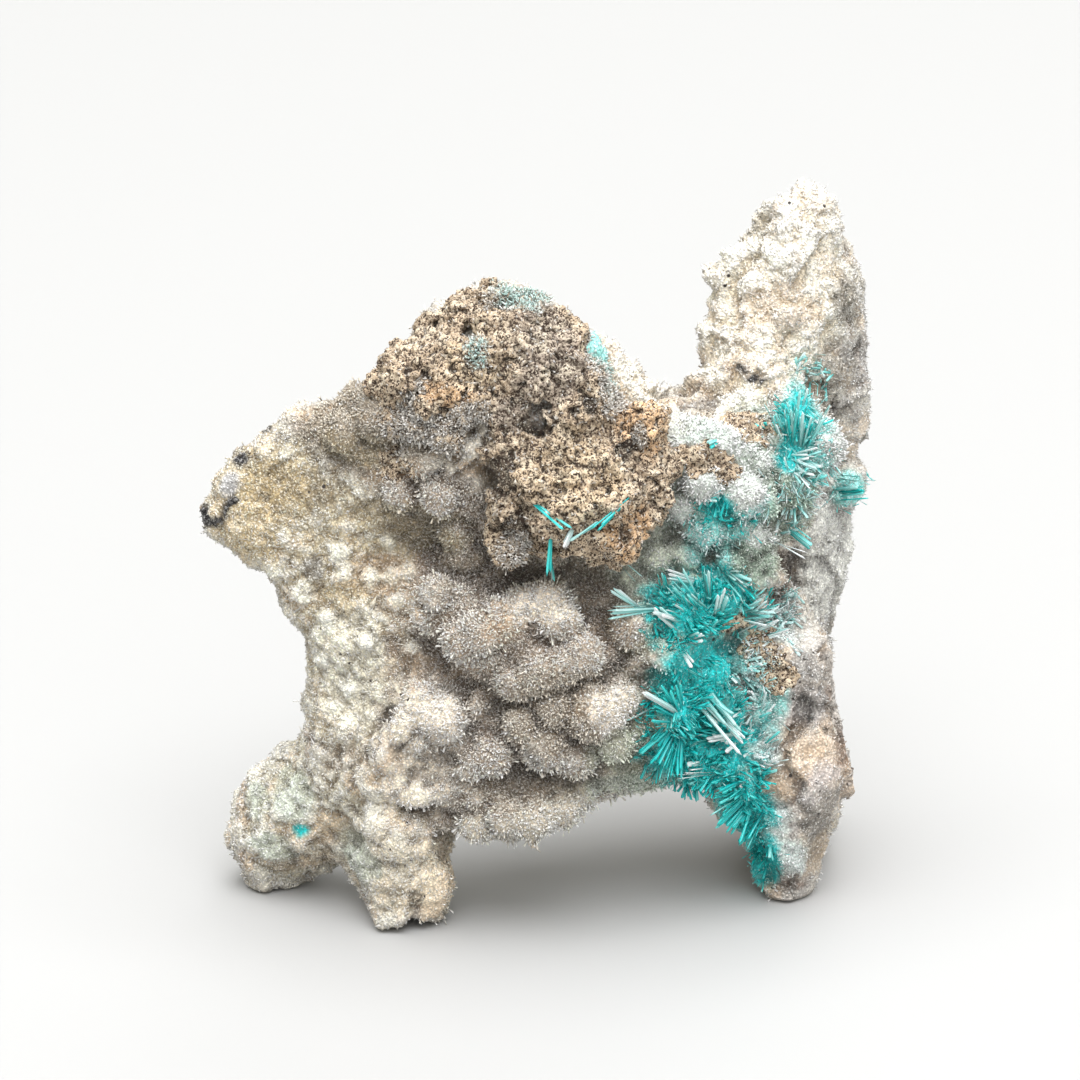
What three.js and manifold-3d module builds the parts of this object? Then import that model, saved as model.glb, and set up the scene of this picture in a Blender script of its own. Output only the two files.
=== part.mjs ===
// A hemimorphite specimen: a rock coated with druse that stands on four feet, with a porous
// limonite cap and sprays of teal needles on its front.
//
// Millimetres, +Z up, the front faces -Y. The rock is one solid, polygonised from a smooth union of
// lumps. Limonite crusts and crystal sprays are solids of their own that sit a hair off the rock.
import * as THREE from "three";
import { ImprovedNoise } from "three/addons/math/ImprovedNoise.js";
import { mergeVertices } from "three/addons/utils/BufferGeometryUtils.js";
import Module from "manifold-3d";

const CELL = 2.5; // grid step of the polygonised rock
const CRUST_CELL = 2.1; // grid step of the limonite crust
const BED_CELL = 2; // grid step of the beds that the sprays grow from
const SEAT_GAP = 0.35; // clearance between the rock and what sits on it
const BLEND = 2.2; // radius with which neighbouring lumps flow together
const CRUST_BLEND = 1.0;
const PIT_BLEND = 1.6;
const CHIPS = 9; // flat breaks on each mass of the rock
const CHIP_DEPTH = 0.8; // how far out a break lies, as a share of the mass's radius
const ROUGHNESS = { height: 1.1, length: 4.6 }; // the rock's own noise
const GRAIN = { height: 0.9, length: 2.4 }; // the limonite's
const BED_DEPTH = 1.25; // how far a spray's bed stands off the rock
const NEEDLE = { sides: 3, flatness: 0.55, shoulder: 0.78, taper: 0.8 }; // a blade with a chisel tip
const CRYSTALS = { count: 26, spread: 0.9, length: [1.3, 2.2], width: 1.1, sunk: 0.6, splay: 0.7 };
const NEEDLE_CLEARANCE = 1.5; // least height of a needle above the surface that the rock stands on
const NEEDLE_DISC = 2.6; // discs smaller than this carry shorter needles
const SPLAY = 1.6; // how strongly a needle leans off the rock's normal
const SPRAY_SEED = 31;
const CRYSTAL_SEED = 77;
const LONE_WIDTH = 0.7; // of the long lone needles
const DRUSE = { color: 0xd8d0bc, roughness: 0.6 };
const LIMONITE = { color: 0xb08f66, roughness: 0.95 };
const TEAL = { color: 0x2fb5b0, roughness: 0.25 };
const MARCH = 0.1; // step with which the rock's surface is searched for
const SLOPE_STEP = 0.4; // over which its slope is measured
const REACH = 40; // farther than any point of the specimen lies from its middle plane

// Each lump is an ellipsoid: its centre, its radii, and a turn about Y that lifts its right end.
const lump = (at, radii, lift = 0) => ({ at, radii, lift: THREE.MathUtils.degToRad(lift) });

const ROCK_MASSES = {
  core: lump([1.5, 1.4, 27], [13.5, 8.6, 16.5]),
  back: lump([4, 7, 29], [12.5, 8, 15]),
  backRidge: lump([-5, 7, 40], [8, 5, 6], 25),
  backShelf: lump([-1, 10, 20], [9, 5, 5], -10),
  capMound: lump([-3.8, -1, 43.2], [10.8, 8.5, 11.3]),
  capShoulder: lump([5.5, 1.5, 40.2], [8, 7, 7.6]),
  wingRoot: lump([-12, 0, 38.3], [10.6, 6.5, 10], 25),
  wing: lump([-19, 1, 35.8], [9, 5, 7], 10),
  wingTip: lump([-25.3, 2, 35.5], [3.8, 3, 4.4], -20),
  wingKeel: lump([-17.4, 0.5, 29.5], [5.4, 5, 7.6], 25),
  waist: lump([-13, 0, 25], [7.2, 7, 11]),
  leftColumn: lump([-13, -1, 14.5], [7.8, 7, 10]),
  leftFoot: lump([-11.2, -4.2, 3.6], [5.6, 5.4, 6.4]),
  knobNeck: lump([-18, 2, 8.5], [6.4, 5.4, 7]),
  knob: lump([-22.8, 4, 5.2], [4.9, 6, 6.7]),
  lipLeft: lump([-2, -3.5, 11.9], [8.6, 6, 4.9], 8),
  lipRight: lump([9, -1.5, 13.8], [8, 5, 3.9], 6),
  valley: lump([13.5, 1.5, 21], [5.5, 4.5, 9]),
  lipEnd: lump([17, 1, 14], [4.4, 5.5, 6]),
  rightFoot: lump([22, 2.5, 11.5], [5.2, 7, 12.6], -2),
  rightHeel: lump([22.2, 3, 3.2], [3.6, 5.5, 5.5]),
  rightShoulder: lump([20.5, 1.5, 20.5], [5.2, 6.6, 5]),
  ledge: lump([17.5, 4, 36], [7.6, 6, 9]),
  ledgeFoot: lump([16, 3, 27], [5, 5, 6]),
  hornRoot: lump([19.2, 9, 42.6], [6.8, 6, 6.8]),
  hornNeck: lump([18, 11.5, 46.4], [3.8, 4.4, 4.6]),
  hornWeb: lump([23, 15, 44], [4.6, 3.6, 7]),
  horn: lump([21.3, 13, 50], [5.4, 4.4, 9]),
  hornStep: lump([15.8, 12.5, 51.4], [3.1, 3.4, 3.6]),
  hornTip: lump([22.4, 14, 55.9], [4, 3.6, 4.4]),
  backWing: lump([24.8, 17.5, 38], [4.4, 3, 19]),
  backWingLow: lump([22, 17, 22], [4.6, 3.4, 10], 8),
  backWall: lump([14, 13.5, 29], [8.5, 5, 15]),
  backSeam: lump([21.5, 16.5, 32], [3.6, 3, 9]),
  backFoot: lump([22.2, 15, 7], [4, 6, 9.6]),
  footBridge: lump([22, 9.5, 10], [3.4, 7, 11]),
  backKnollLow: lump([-9, 7.4, 26], [5, 3.6, 4.6], 20),
  backKnollHigh: lump([3, 11, 40], [5.4, 4, 4.4], -30),
  backRib: lump([9, 15.4, 20], [3, 3.4, 8], 15),
};

const DRUSE_LUMPS = [
  lump([-2, -8, 26.5], [5.6, 4, 3.2], 32),
  lump([1.6, -7.4, 22], [6, 4, 3], 20),
  lump([4.8, -7, 17.6], [3.6, 3.6, 3]),
  lump([8.8, -5.2, 19.6], [3.6, 3.4, 3]),
  lump([-9, -6.5, 20], [4, 3.8, 3.8]),
  lump([-4.6, -7, 17.4], [3, 3, 2.4]),
  lump([-5, -5, 19.8], [3.4, 3, 3.4]),
  lump([-1.6, -7, 12], [5.4, 3.4, 2.6], 12),
  lump([-7.6, -6.8, 13.4], [3, 3, 2.6]),
  lump([10.6, -4.8, 25.4], [4.4, 3.6, 3.8]),
  lump([-7.6, -6.6, 29.5], [4, 3.2, 3.8]),
  lump([13, -3.4, 41.5], [3.8, 3.4, 3.8]),
  lump([14.8, -2.6, 36.2], [3.4, 3, 3.4]),
  lump([17, -1, 31.5], [3.4, 3, 3.4]),
];

const PITS = [
  lump([-0.8, -9.6, 31.2], [3.4, 3.2, 1.7], 10),
  lump([6.8, -8.8, 23.2], [1.4, 3, 2]),
  lump([-3, -9.6, 14.7], [3.4, 2.4, 0.9], 6),
  lump([21.5, 1, 28.6], [3.6, 4, 3]),
  lump([-10.5, -7.2, 33.5], [6, 2.6, 1.8], -4),
];

const CAP = [
  lump([-8.4, -4.8, 46.4], [5.6, 4.8, 5.4], 35),
  lump([-4, -2.6, 51], [6.4, 5.2, 3.8], 5),
  lump([-1, -6, 48.4], [6.4, 4.2, 4.4]),
  lump([-5.6, -6.8, 46.4], [5, 3.6, 3.8]),
  lump([1.6, -6.6, 45], [5.6, 4.2, 3.6]),
  lump([3.2, -9.6, 39.2], [5.8, 4, 4.8]),
  lump([8.6, -6.4, 43.4], [3, 3, 3.4]),
  lump([8.2, -7.2, 38.4], [3, 3, 3.6]),
  lump([6.2, -8.2, 33.8], [2, 2.4, 3]),
  lump([-2.6, -8.6, 36], [2, 2.4, 3.6]),
];

// Where needles root, as discs [x, z, radius] on the rock's front, and how the needles are.
const SPRAYS = {
  teal_spray_middle: {
    discs: [
      [10.8, 27.2, 2.2], [12.4, 27.6, 2.6], [14.4, 28.4, 2.6], [16.6, 27.4, 2.6], [19.2, 26, 2.4],
      [21.4, 25, 2],
    ],
    needles: 38,
    length: [2.6, 4.8],
    width: 0.8,
  },
  teal_spray_front: {
    discs: [
      [12.6, 21.4, 2.8], [10.6, 19.4, 2.4], [14.6, 17.8, 3.6], [10.8, 16, 2.4], [13.6, 14.2, 2.8],
      [16.4, 12, 2.4], [17.6, 8.6, 1.9], [18.9, 5, 1.3],
    ],
    needles: 54,
    length: [2.8, 5.4],
    width: 0.85,
  },
  teal_spray_shoulder: {
    discs: [[20.7, 42, 2.2], [22.6, 39.6, 2.2], [20.4, 37.2, 2.2], [20.6, 33.6, 1.6], [22.8, 44.4, 1.9]],
    needles: 28,
    length: [2.4, 4.4],
    width: 0.8,
  },
  teal_spray_knoll: {
    discs: [[14, 36.3, 1.9], [16, 34.9, 1.7]],
    needles: 8,
    length: [1.6, 2.8],
    width: 0.75,
  },
  teal_spray_hollow: {
    discs: [[26, 32.2, 2.4]],
    needles: 6,
    length: [1.8, 2.8],
    width: 0.75,
  },
  teal_needles_left: {
    discs: [[0.9, 33.6, 1.9]],
    needles: 3,
    length: [1.4, 2],
    width: 0.7,
  },
  teal_needles_right: {
    discs: [[5.4, 32.6, 1.9]],
    needles: 3,
    length: [1.4, 2],
    width: 0.7,
  },
};

// Long lone needles: the foot and the tip of each, and the sprays that they grow with.
const LONE_NEEDLES = {
  teal_spray_middle: [
    [[12.2, -3.4, 30], [8.6, -8.4, 32]],
    [[11.6, -3.6, 28.6], [5.8, -8.6, 30]],
    [[14, -4.4, 28.4], [13.6, -8.4, 33.4]],
    [[16, -2.6, 29], [19, -5.6, 32]],
    [[18.4, -1.6, 26.6], [22.8, -6, 28.4]],
  ],
  teal_spray_front: [
    [[12.4, -4, 20.4], [8.4, -8.6, 22.9]],
    [[10.6, -5, 18.6], [6.8, -8.6, 17.6]],
  ],
  teal_spray_shoulder: [
    [[19.4, -2, 36.4], [18, -5.6, 33.6]],
    [[20, -1, 35.6], [22.8, -4.6, 32.6]],
  ],
  teal_needles_left: [
    [[0.8, -5.6, 34.4], [1, -9.8, 30.8]],
    [[0.8, -5.2, 33.6], [-2.2, -10.4, 34.4]],
  ],
  teal_needles_right: [
    [[5.2, -4.6, 32.6], [9.2, -8.8, 30.6]],
    [[5, -4.8, 32.8], [2.8, -9.4, 31.6]],
  ],
};

const perlin = new ImprovedNoise();
const noise = ({ height, length }, x, y, z) => height * perlin.noise(x / length, y / length, z / length);
const wasm = await Module();
wasm.setup();

// A repeatable stream of numbers from 0 to 1.
function randomFrom(seed) {
  let state = seed;
  return () => {
    state = (state + 0x6d2b79f5) | 0;
    let t = Math.imul(state ^ (state >>> 15), 1 | state);
    t = (t + Math.imul(t ^ (t >>> 7), 61 | t)) ^ t;
    return ((t ^ (t >>> 14)) >>> 0) / 4294967296;
  };
}

// A point of the unit sphere, evenly likely anywhere on it.
function randomDirection(random) {
  const z = 2 * random() - 1;
  const turn = 2 * Math.PI * random();
  const flat = Math.sqrt(1 - z * z);
  return [flat * Math.cos(turn), flat * Math.sin(turn), z];
}

// Signed distance, near enough, from p to a lump, negative inside. Chips cut flat faces off it.
function lumpDistance({ at, radii, lift, chips = [] }, x, y, z) {
  const dx = x - at[0];
  const dz = z - at[2];
  const c = Math.cos(lift);
  const s = Math.sin(lift);
  const u = [(c * dx + s * dz) / radii[0], (y - at[1]) / radii[1], (c * dz - s * dx) / radii[2]];
  const k0 = Math.hypot(...u);
  const k1 = Math.hypot(u[0] / radii[0], u[1] / radii[1], u[2] / radii[2]);
  let distance = k1 === 0 ? -Math.min(...radii) : (k0 * (k0 - 1)) / k1;
  for (const [a, b, d] of chips) {
    const outside = a * u[0] + b * u[1] + d * u[2] - CHIP_DEPTH;
    distance = Math.max(distance, outside / Math.hypot(a / radii[0], b / radii[1], d / radii[2]));
  }
  return distance;
}

function smoothMin(a, b, k) {
  const h = Math.max(k - Math.abs(a - b), 0) / k;
  return Math.min(a, b) - h * h * k * 0.25;
}

const unionOf = (lumps, k) => (x, y, z) =>
  lumps.reduce((d, l) => smoothMin(d, lumpDistance(l, x, y, z), k), Infinity);

const chipRandom = randomFrom(11);
for (const mass of Object.values(ROCK_MASSES))
  mass.chips = Array.from({ length: CHIPS }, () => randomDirection(chipRandom));

const masses = unionOf(Object.values(ROCK_MASSES), BLEND);
const druse = unionOf(DRUSE_LUMPS, CRUST_BLEND);
const pits = unionOf(PITS, CRUST_BLEND);

function rockField(x, y, z) {
  const solid = smoothMin(masses(x, y, z), druse(x, y, z), CRUST_BLEND);
  const hollowed = -smoothMin(-solid, pits(x, y, z), PIT_BLEND);
  return hollowed - noise(ROUGHNESS, x, y, z);
}

// Closed mesh of field < level inside a box, by surface nets: one vertex for each grid cell that the
// surface crosses, one quad for each grid edge that it crosses.
function netOf(field, low, high, cell, level = 0) {
  const n = low.map((l, i) => Math.ceil((high[i] - l) / cell) + 1);
  const at = (i, j, k) => i + n[0] * (j + n[1] * k);
  const value = new Float64Array(n[0] * n[1] * n[2]);
  for (let k = 0; k < n[2]; k++)
    for (let j = 0; j < n[1]; j++)
      for (let i = 0; i < n[0]; i++)
        value[at(i, j, k)] = field(low[0] + i * cell, low[1] + j * cell, low[2] + k * cell);
  makeUnambiguous(value, n, at);
  if (level) {
    value.forEach((v, i) => (value[i] = v - level));
    makeUnambiguous(value, n, at);
  }

  const corners = [0, 1, 2, 3, 4, 5, 6, 7].map((c) => [c & 1, (c >> 1) & 1, c >> 2]);
  const edges = [];
  for (let a = 0; a < 8; a++) for (const bit of [1, 2, 4]) if (!(a & bit)) edges.push([a, a | bit]);
  const vertexOf = new Map();
  const position = [];
  for (let k = 0; k < n[2] - 1; k++)
    for (let j = 0; j < n[1] - 1; j++)
      for (let i = 0; i < n[0] - 1; i++) {
        const v = corners.map(([a, b, c]) => value[at(i + a, j + b, k + c)]);
        const sum = [0, 0, 0];
        let crossings = 0;
        for (const [a, b] of edges) {
          if (v[a] < 0 === v[b] < 0) continue;
          const t = v[a] / (v[a] - v[b]);
          for (let m = 0; m < 3; m++) sum[m] += corners[a][m] + t * (corners[b][m] - corners[a][m]);
          crossings++;
        }
        if (!crossings) continue;
        vertexOf.set(at(i, j, k), position.length / 3);
        [i, j, k].forEach((o, m) => position.push(low[m] + cell * (o + sum[m] / crossings)));
      }

  const index = [];
  const step = [at(1, 0, 0), at(0, 1, 0), at(0, 0, 1)];
  for (let k = 1; k < n[2] - 1; k++)
    for (let j = 1; j < n[1] - 1; j++)
      for (let i = 1; i < n[0] - 1; i++)
        for (let m = 0; m < 3; m++) {
          const here = at(i, j, k);
          const inside = value[here] < 0;
          if (inside === value[here + step[m]] < 0) continue;
          const [p, q] = [step[(m + 1) % 3], step[(m + 2) % 3]];
          const ring = [here - p - q, here - q, here, here - p].map((c) => vertexOf.get(c));
          if (!inside) ring.reverse();
          index.push(...splitQuad(ring, position));
        }
  return solidOf(position, index);
}

// Two triangles of a quad, cut along its shorter diagonal.
function splitQuad([a, b, c, d], position) {
  const span = (p, q) =>
    Math.hypot(...[0, 1, 2].map((m) => position[3 * p + m] - position[3 * q + m]));
  return span(a, c) < span(b, d) ? [a, b, c, a, c, d] : [a, b, d, b, c, d];
}

// Fills grid points until no two inside points touch only across a diagonal, nor two outside ones,
// because surface nets is a closed manifold only then.
function makeUnambiguous(value, n, at) {
  const fill = -1e-3;
  const diagonals = [
    [[1, 0, 0], [0, 1, 0]],
    [[1, 0, 0], [0, 0, 1]],
    [[0, 1, 0], [0, 0, 1]],
  ];
  let changed = true;
  while (changed) {
    changed = false;
    for (let k = 0; k < n[2] - 1; k++)
      for (let j = 0; j < n[1] - 1; j++)
        for (let i = 0; i < n[0] - 1; i++) {
          const o = at(i, j, k);
          for (const [p, q] of diagonals) {
            const a = o + at(...p);
            const b = o + at(...q);
            const c = o + at(...p) + at(...q);
            const [vo, va, vb, vc] = [o, a, b, c].map((m) => value[m] < 0);
            if (vo === vc && va === vb && vo !== va) {
              value[vo ? a : o] = fill;
              changed = true;
            }
          }
          const cube = [0, 1, 2, 3, 4, 5, 6, 7].map((m) => o + at(m & 1, (m >> 1) & 1, m >> 2));
          const inside = cube.map((m) => value[m] < 0);
          for (let m = 0; m < 4; m++) {
            const lone = inside[m];
            const rest = cube.every((_, q) => q === m || q === 7 - m || inside[q] !== lone);
            if (inside[7 - m] === lone && rest) {
              value[lone ? cube[m ^ 1] : cube[m]] = fill;
              changed = true;
            }
          }
        }
  }
}

function solidOf(position, index) {
  const mesh = new wasm.Mesh({
    numProp: 3,
    vertProperties: new Float32Array(position),
    triVerts: new Uint32Array(index),
  });
  return new wasm.Manifold(mesh);
}

function solidOfGeometry(geometry) {
  const bare = geometry.clone();
  for (const name of ["normal", "uv"]) bare.deleteAttribute(name);
  const merged = mergeVertices(bare, 1e-4);
  return solidOf(merged.attributes.position.array, merged.index.array);
}

// The largest of a solid's separate bodies.
const mainBody = (solid) =>
  solid.decompose().reduce((a, b) => (a.volume() > b.volume() ? a : b));

const block = (low, high) => {
  const size = high.map((h, i) => h - low[i]);
  const box = new THREE.BoxGeometry(...size);
  box.translate(...high.map((h, i) => (h + low[i]) / 2));
  return solidOfGeometry(box);
};

const ROCK_LOW = [-38, -22, -10];
const ROCK_HIGH = [37, 31, 68];
const CAP_LOW = [-22, -22, 22];
const CAP_HIGH = [20, 10, 62];
const belowGround = block([-REACH, -REACH, -REACH], [REACH, REACH, 0]);
const nearGround = block([-REACH, -REACH, -REACH], [REACH, REACH, NEEDLE_CLEARANCE]);

const rockWithGap = netOf(rockField, ROCK_LOW, ROCK_HIGH, CELL, SEAT_GAP);
const rockWithBeds = netOf(rockField, ROCK_LOW, ROCK_HIGH, CELL, BED_DEPTH);

// The first point of the rock that a line along +Y meets at x, z, and which way the rock faces there.
function onFront(x, z) {
  let y = -REACH;
  while (rockField(x, y, z) > 0 && y < REACH) y += MARCH;
  const d = SLOPE_STEP;
  const slope = [
    rockField(x + d, y, z) - rockField(x - d, y, z),
    rockField(x, y + d, z) - rockField(x, y - d, z),
    rockField(x, y, z + d) - rockField(x, y, z - d),
  ];
  return { at: [x, y, z], normal: new THREE.Vector3(...slope).normalize() };
}

// A crystal from its foot towards its tip: a prism of few sides, wider than thick, with a chisel tip.
function crystal(foot, direction, length, width, sides, turn) {
  const profile = [
    [0, 0],
    [width / 2, 0],
    [(width / 2) * NEEDLE.taper, length * NEEDLE.shoulder],
    [0, length],
  ];
  const geometry = new THREE.LatheGeometry(profile.map((p) => new THREE.Vector2(...p)), sides);
  geometry.scale(1, 1, NEEDLE.flatness);
  geometry.rotateY(turn);
  const up = new THREE.Vector3(0, 1, 0);
  geometry.applyQuaternion(new THREE.Quaternion().setFromUnitVectors(up, direction));
  geometry.translate(...foot);
  return solidOfGeometry(geometry);
}

const between = (random, [low, high]) => low + (high - low) * random();

// Needles that root in the discs and splay away from the rock.
function sprayNeedles({ discs, needles, length, width }, seed) {
  const random = randomFrom(seed);
  const area = discs.reduce((sum, disc) => sum + disc[2] ** 2, 0);
  return Array.from({ length: needles }, () => {
    let pick = random() * area;
    const [cx, cz, r] = discs.find((disc) => (pick -= disc[2] ** 2) <= 0);
    const turn = 2 * Math.PI * random();
    const out = r * Math.sqrt(random());
    const { at, normal } = onFront(cx + out * Math.cos(turn), cz + out * Math.sin(turn));
    const lean = new THREE.Vector3(...randomDirection(random)).multiplyScalar(SPLAY);
    lean.addScaledVector(normal, Math.max(0, -lean.dot(normal)));
    const foot = normal.clone().multiplyScalar(SEAT_GAP).add(new THREE.Vector3(...at));
    const direction = lean.add(normal).normalize();
    const size = between(random, length) * Math.min(1, r / NEEDLE_DISC);
    return crystal(foot, direction, size, width, NEEDLE.sides, random() * Math.PI);
  });
}

// Stout crystals that stand on the druse lumps, each sunk a little into the rock. Those that would
// come within the seat gap of what sits on the rock are left out.
function druseCrystals(sitters) {
  const random = randomFrom(CRYSTAL_SEED);
  const crystals = [];
  for (let i = 0; i < CRYSTALS.count; i++) {
    const { at: [x, , z], radii } = DRUSE_LUMPS[i % DRUSE_LUMPS.length];
    const turn = 2 * Math.PI * random();
    const out = CRYSTALS.spread * Math.sqrt(random());
    const place = onFront(x + out * radii[0] * Math.cos(turn), z + out * radii[2] * Math.sin(turn));
    const lean = new THREE.Vector3(...randomDirection(random)).multiplyScalar(CRYSTALS.splay);
    const direction = lean.add(place.normal).normalize();
    const foot = new THREE.Vector3(...place.at).addScaledVector(direction, -CRYSTALS.sunk);
    const length = CRYSTALS.sunk + between(random, CRYSTALS.length);
    const roll = random() * Math.PI;
    const made = (extra) =>
      crystal(foot, direction, length + extra, CRYSTALS.width + 2 * extra, NEEDLE.sides, roll);
    if (made(2 * SEAT_GAP).intersect(sitters).isEmpty()) crystals.push(made(0));
  }
  return crystals;
}

const toVector = (point) => new THREE.Vector3(...point);

const loneNeedles = (name) =>
  (LONE_NEEDLES[name] ?? []).map(([foot, tip], i) => {
    const along = toVector(tip).sub(toVector(foot));
    return crystal(foot, along.clone().normalize(), along.length(), LONE_WIDTH, NEEDLE.sides, i);
  });

// The bed of a spray: a crust over the rock within the discs' reach.
function bedOf(discs) {
  const balls = discs.map(([x, z, r]) => lump(onFront(x, z).at, [r, r, r]));
  const low = [0, 1, 2].map((m) => Math.min(...balls.map((l) => l.at[m] - l.radii[m])) - 2 * BED_CELL);
  const high = [0, 1, 2].map((m) => Math.max(...balls.map((l) => l.at[m] + l.radii[m])) + 2 * BED_CELL);
  return netOf(unionOf(balls, CRUST_BLEND), low, high, BED_CELL).intersect(rockWithBeds);
}

const capField = unionOf(CAP, CRUST_BLEND);
const crumbly = (x, y, z) => capField(x, y, z) - noise(GRAIN, x, y, z);
const cap = mainBody(netOf(crumbly, CAP_LOW, CAP_HIGH, CRUST_CELL).subtract(rockWithGap));
const capWithGap = netOf(crumbly, CAP_LOW, CAP_HIGH, CRUST_CELL, SEAT_GAP);

const joined = (solids) => solids.reduce((sum, one) => sum.add(one));

const spraySolids = Object.entries(SPRAYS).map(([name, spray], i) => {
  const grown = joined([bedOf(spray.discs), ...sprayNeedles(spray, SPRAY_SEED + i), ...loneNeedles(name)]);
  const clear = [rockWithGap, capWithGap, nearGround].reduce((left, cut) => left.subtract(cut), grown);
  return [name, mainBody(clear)];
});
const sitters = joined([cap, ...spraySolids.map(([, solid]) => solid)]);
const bareRock = netOf(rockField, ROCK_LOW, ROCK_HIGH, CELL);
const rock = mainBody(joined([bareRock, ...druseCrystals(sitters)]).subtract(belowGround));

const specimen = new THREE.Group();

function addPiece(name, solid, { color, roughness }) {
  const mesh = solid.getMesh();
  const geometry = new THREE.BufferGeometry();
  const position = new Float32Array(mesh.numVert * 3);
  for (let i = 0; i < mesh.numVert; i++)
    for (let m = 0; m < 3; m++) position[3 * i + m] = mesh.vertProperties[i * mesh.numProp + m];
  geometry.setAttribute("position", new THREE.BufferAttribute(position, 3));
  geometry.setIndex(new THREE.BufferAttribute(mesh.triVerts, 1));
  geometry.computeVertexNormals();
  const material = new THREE.MeshStandardMaterial({ color, roughness, metalness: 0 });
  const piece = new THREE.Mesh(geometry, material);
  piece.name = name;
  specimen.add(piece);
}

addPiece("druse_rock", rock, DRUSE);
addPiece("limonite_cap", cap, LIMONITE);
for (const [name, solid] of spraySolids) addPiece(name, solid, TEAL);

// The origin is the middle of the specimen's footprint, on the surface that it stands on.
const bounds = new THREE.Box3().setFromObject(specimen);
const middle = bounds.getCenter(new THREE.Vector3());
specimen.position.set(-middle.x, -middle.y, 0);

export default specimen;
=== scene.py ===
"""Looks of a hemimorphite specimen: a druse-crusted rock, a limonite cap and sprays of teal needles.

Places are in specimen coordinates: millimetres, +Z up, seen from -Y, the same that part.mjs uses
before it centres the part. in_frame() turns them into the frame's metres.
"""

import itertools
import math

import bmesh
import bpy
import numpy as np
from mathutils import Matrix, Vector
from mathutils.bvhtree import BVHTree


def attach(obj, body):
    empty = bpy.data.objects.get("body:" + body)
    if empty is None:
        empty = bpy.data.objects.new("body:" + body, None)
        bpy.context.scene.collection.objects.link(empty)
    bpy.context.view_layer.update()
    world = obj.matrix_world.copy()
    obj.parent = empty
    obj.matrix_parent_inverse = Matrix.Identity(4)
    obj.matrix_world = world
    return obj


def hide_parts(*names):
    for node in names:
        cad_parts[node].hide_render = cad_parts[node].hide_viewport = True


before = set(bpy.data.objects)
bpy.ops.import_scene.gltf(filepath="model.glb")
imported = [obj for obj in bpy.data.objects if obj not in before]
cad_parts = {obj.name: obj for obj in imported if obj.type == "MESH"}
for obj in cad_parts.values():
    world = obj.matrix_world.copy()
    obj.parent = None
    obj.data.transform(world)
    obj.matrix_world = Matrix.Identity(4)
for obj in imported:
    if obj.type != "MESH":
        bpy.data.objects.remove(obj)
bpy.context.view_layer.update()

MM = 0.001
SPECIMEN_ORIGIN = np.array((-0.5158, -3.5348, 0.0))  # where specimen coordinates start, in the frame, mm
IOR = 1.614
SEED = 2024

# ---------- Camera, light and floor ----------

VIEW_TARGET = (0.0, 0.0, 32.3)
VIEW_ELEVATION = 18.0
VIEW_DISTANCE = 420.0
VIEW_WIDTH = 90.0
SENSOR = 36.0

# The studio's glow low down and overhead, and its softboxes: place in metres, width and watts.
HORIZON_GLOW = 0.26
ZENITH_GLOW = 0.58
SKY_COLOUR = (1.0, 0.985, 0.86, 1)
LAMP_COLOUR = (1.0, 1.004, 1.035)
LAMPS_AIM = (0, 0, 0.03)
SOFTBOXES = [
    ("front_softbox", (0.4, -3.4, 3.0), 4.6, 125.0),
    ("top_softbox", (0.2, -0.9, 4.2), 6.0, 450.0),
    ("back_softbox", (1.2, 3.6, 3.9), 2.7, 40.0),
]
FLOOR_HALF = 2.5
FLOOR_COLOUR = (0.4, 0.4, 0.395, 1)
FLOOR_ROUGHNESS = 0.6


def new_object(name, data):
    obj = bpy.data.objects.new(name, data)
    bpy.context.scene.collection.objects.link(obj)
    return obj


def in_frame(points):
    """Specimen millimetres to the frame's metres."""
    return (np.asarray(points, dtype=float) + SPECIMEN_ORIGIN) * MM


def in_specimen(points):
    """The frame's metres to specimen millimetres."""
    return np.asarray(points, dtype=float) / MM - SPECIMEN_ORIGIN


def add_camera():
    tilt = math.radians(VIEW_ELEVATION)
    back = Vector((0, -math.cos(tilt), math.sin(tilt)))
    data = bpy.data.cameras.new("camera")
    data.sensor_width = SENSOR
    data.lens = SENSOR * VIEW_DISTANCE / VIEW_WIDTH
    data.clip_start = 0.01
    camera = new_object("camera", data)
    camera.location = Vector(in_frame(VIEW_TARGET)) + back * VIEW_DISTANCE * MM
    camera.rotation_mode = "QUATERNION"
    camera.rotation_quaternion = (-back).to_track_quat("-Z", "Y")
    bpy.context.scene.camera = camera


def add_area_light(name, place, size, watts):
    data = bpy.data.lights.new(name, "AREA")
    data.shape = "DISK"
    data.size = size
    data.energy = watts
    data.color = LAMP_COLOUR
    light = new_object(name, data)
    light.location = place
    light.rotation_mode = "QUATERNION"
    light.rotation_quaternion = (Vector(LAMPS_AIM) - Vector(place)).to_track_quat("-Z", "Y")


def add_studio():
    world = bpy.data.worlds.new("studio")
    world.use_nodes = True
    nodes, links = world.node_tree.nodes, world.node_tree.links
    direction = nodes.new("ShaderNodeTexCoord").outputs["Generated"]
    split = nodes.new("ShaderNodeSeparateXYZ")
    links.new(direction, split.inputs[0])
    rise = nodes.new("ShaderNodeMapRange")
    links.new(split.outputs["Z"], rise.inputs["Value"])
    rise.inputs["To Min"].default_value = HORIZON_GLOW
    rise.inputs["To Max"].default_value = ZENITH_GLOW
    links.new(rise.outputs["Result"], nodes["Background"].inputs["Strength"])
    nodes["Background"].inputs["Color"].default_value = SKY_COLOUR
    bpy.context.scene.world = world
    for softbox in SOFTBOXES:
        add_area_light(*softbox)
    bpy.context.scene.view_settings.view_transform = "Standard"
    bpy.context.scene.view_settings.look = "None"


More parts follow.
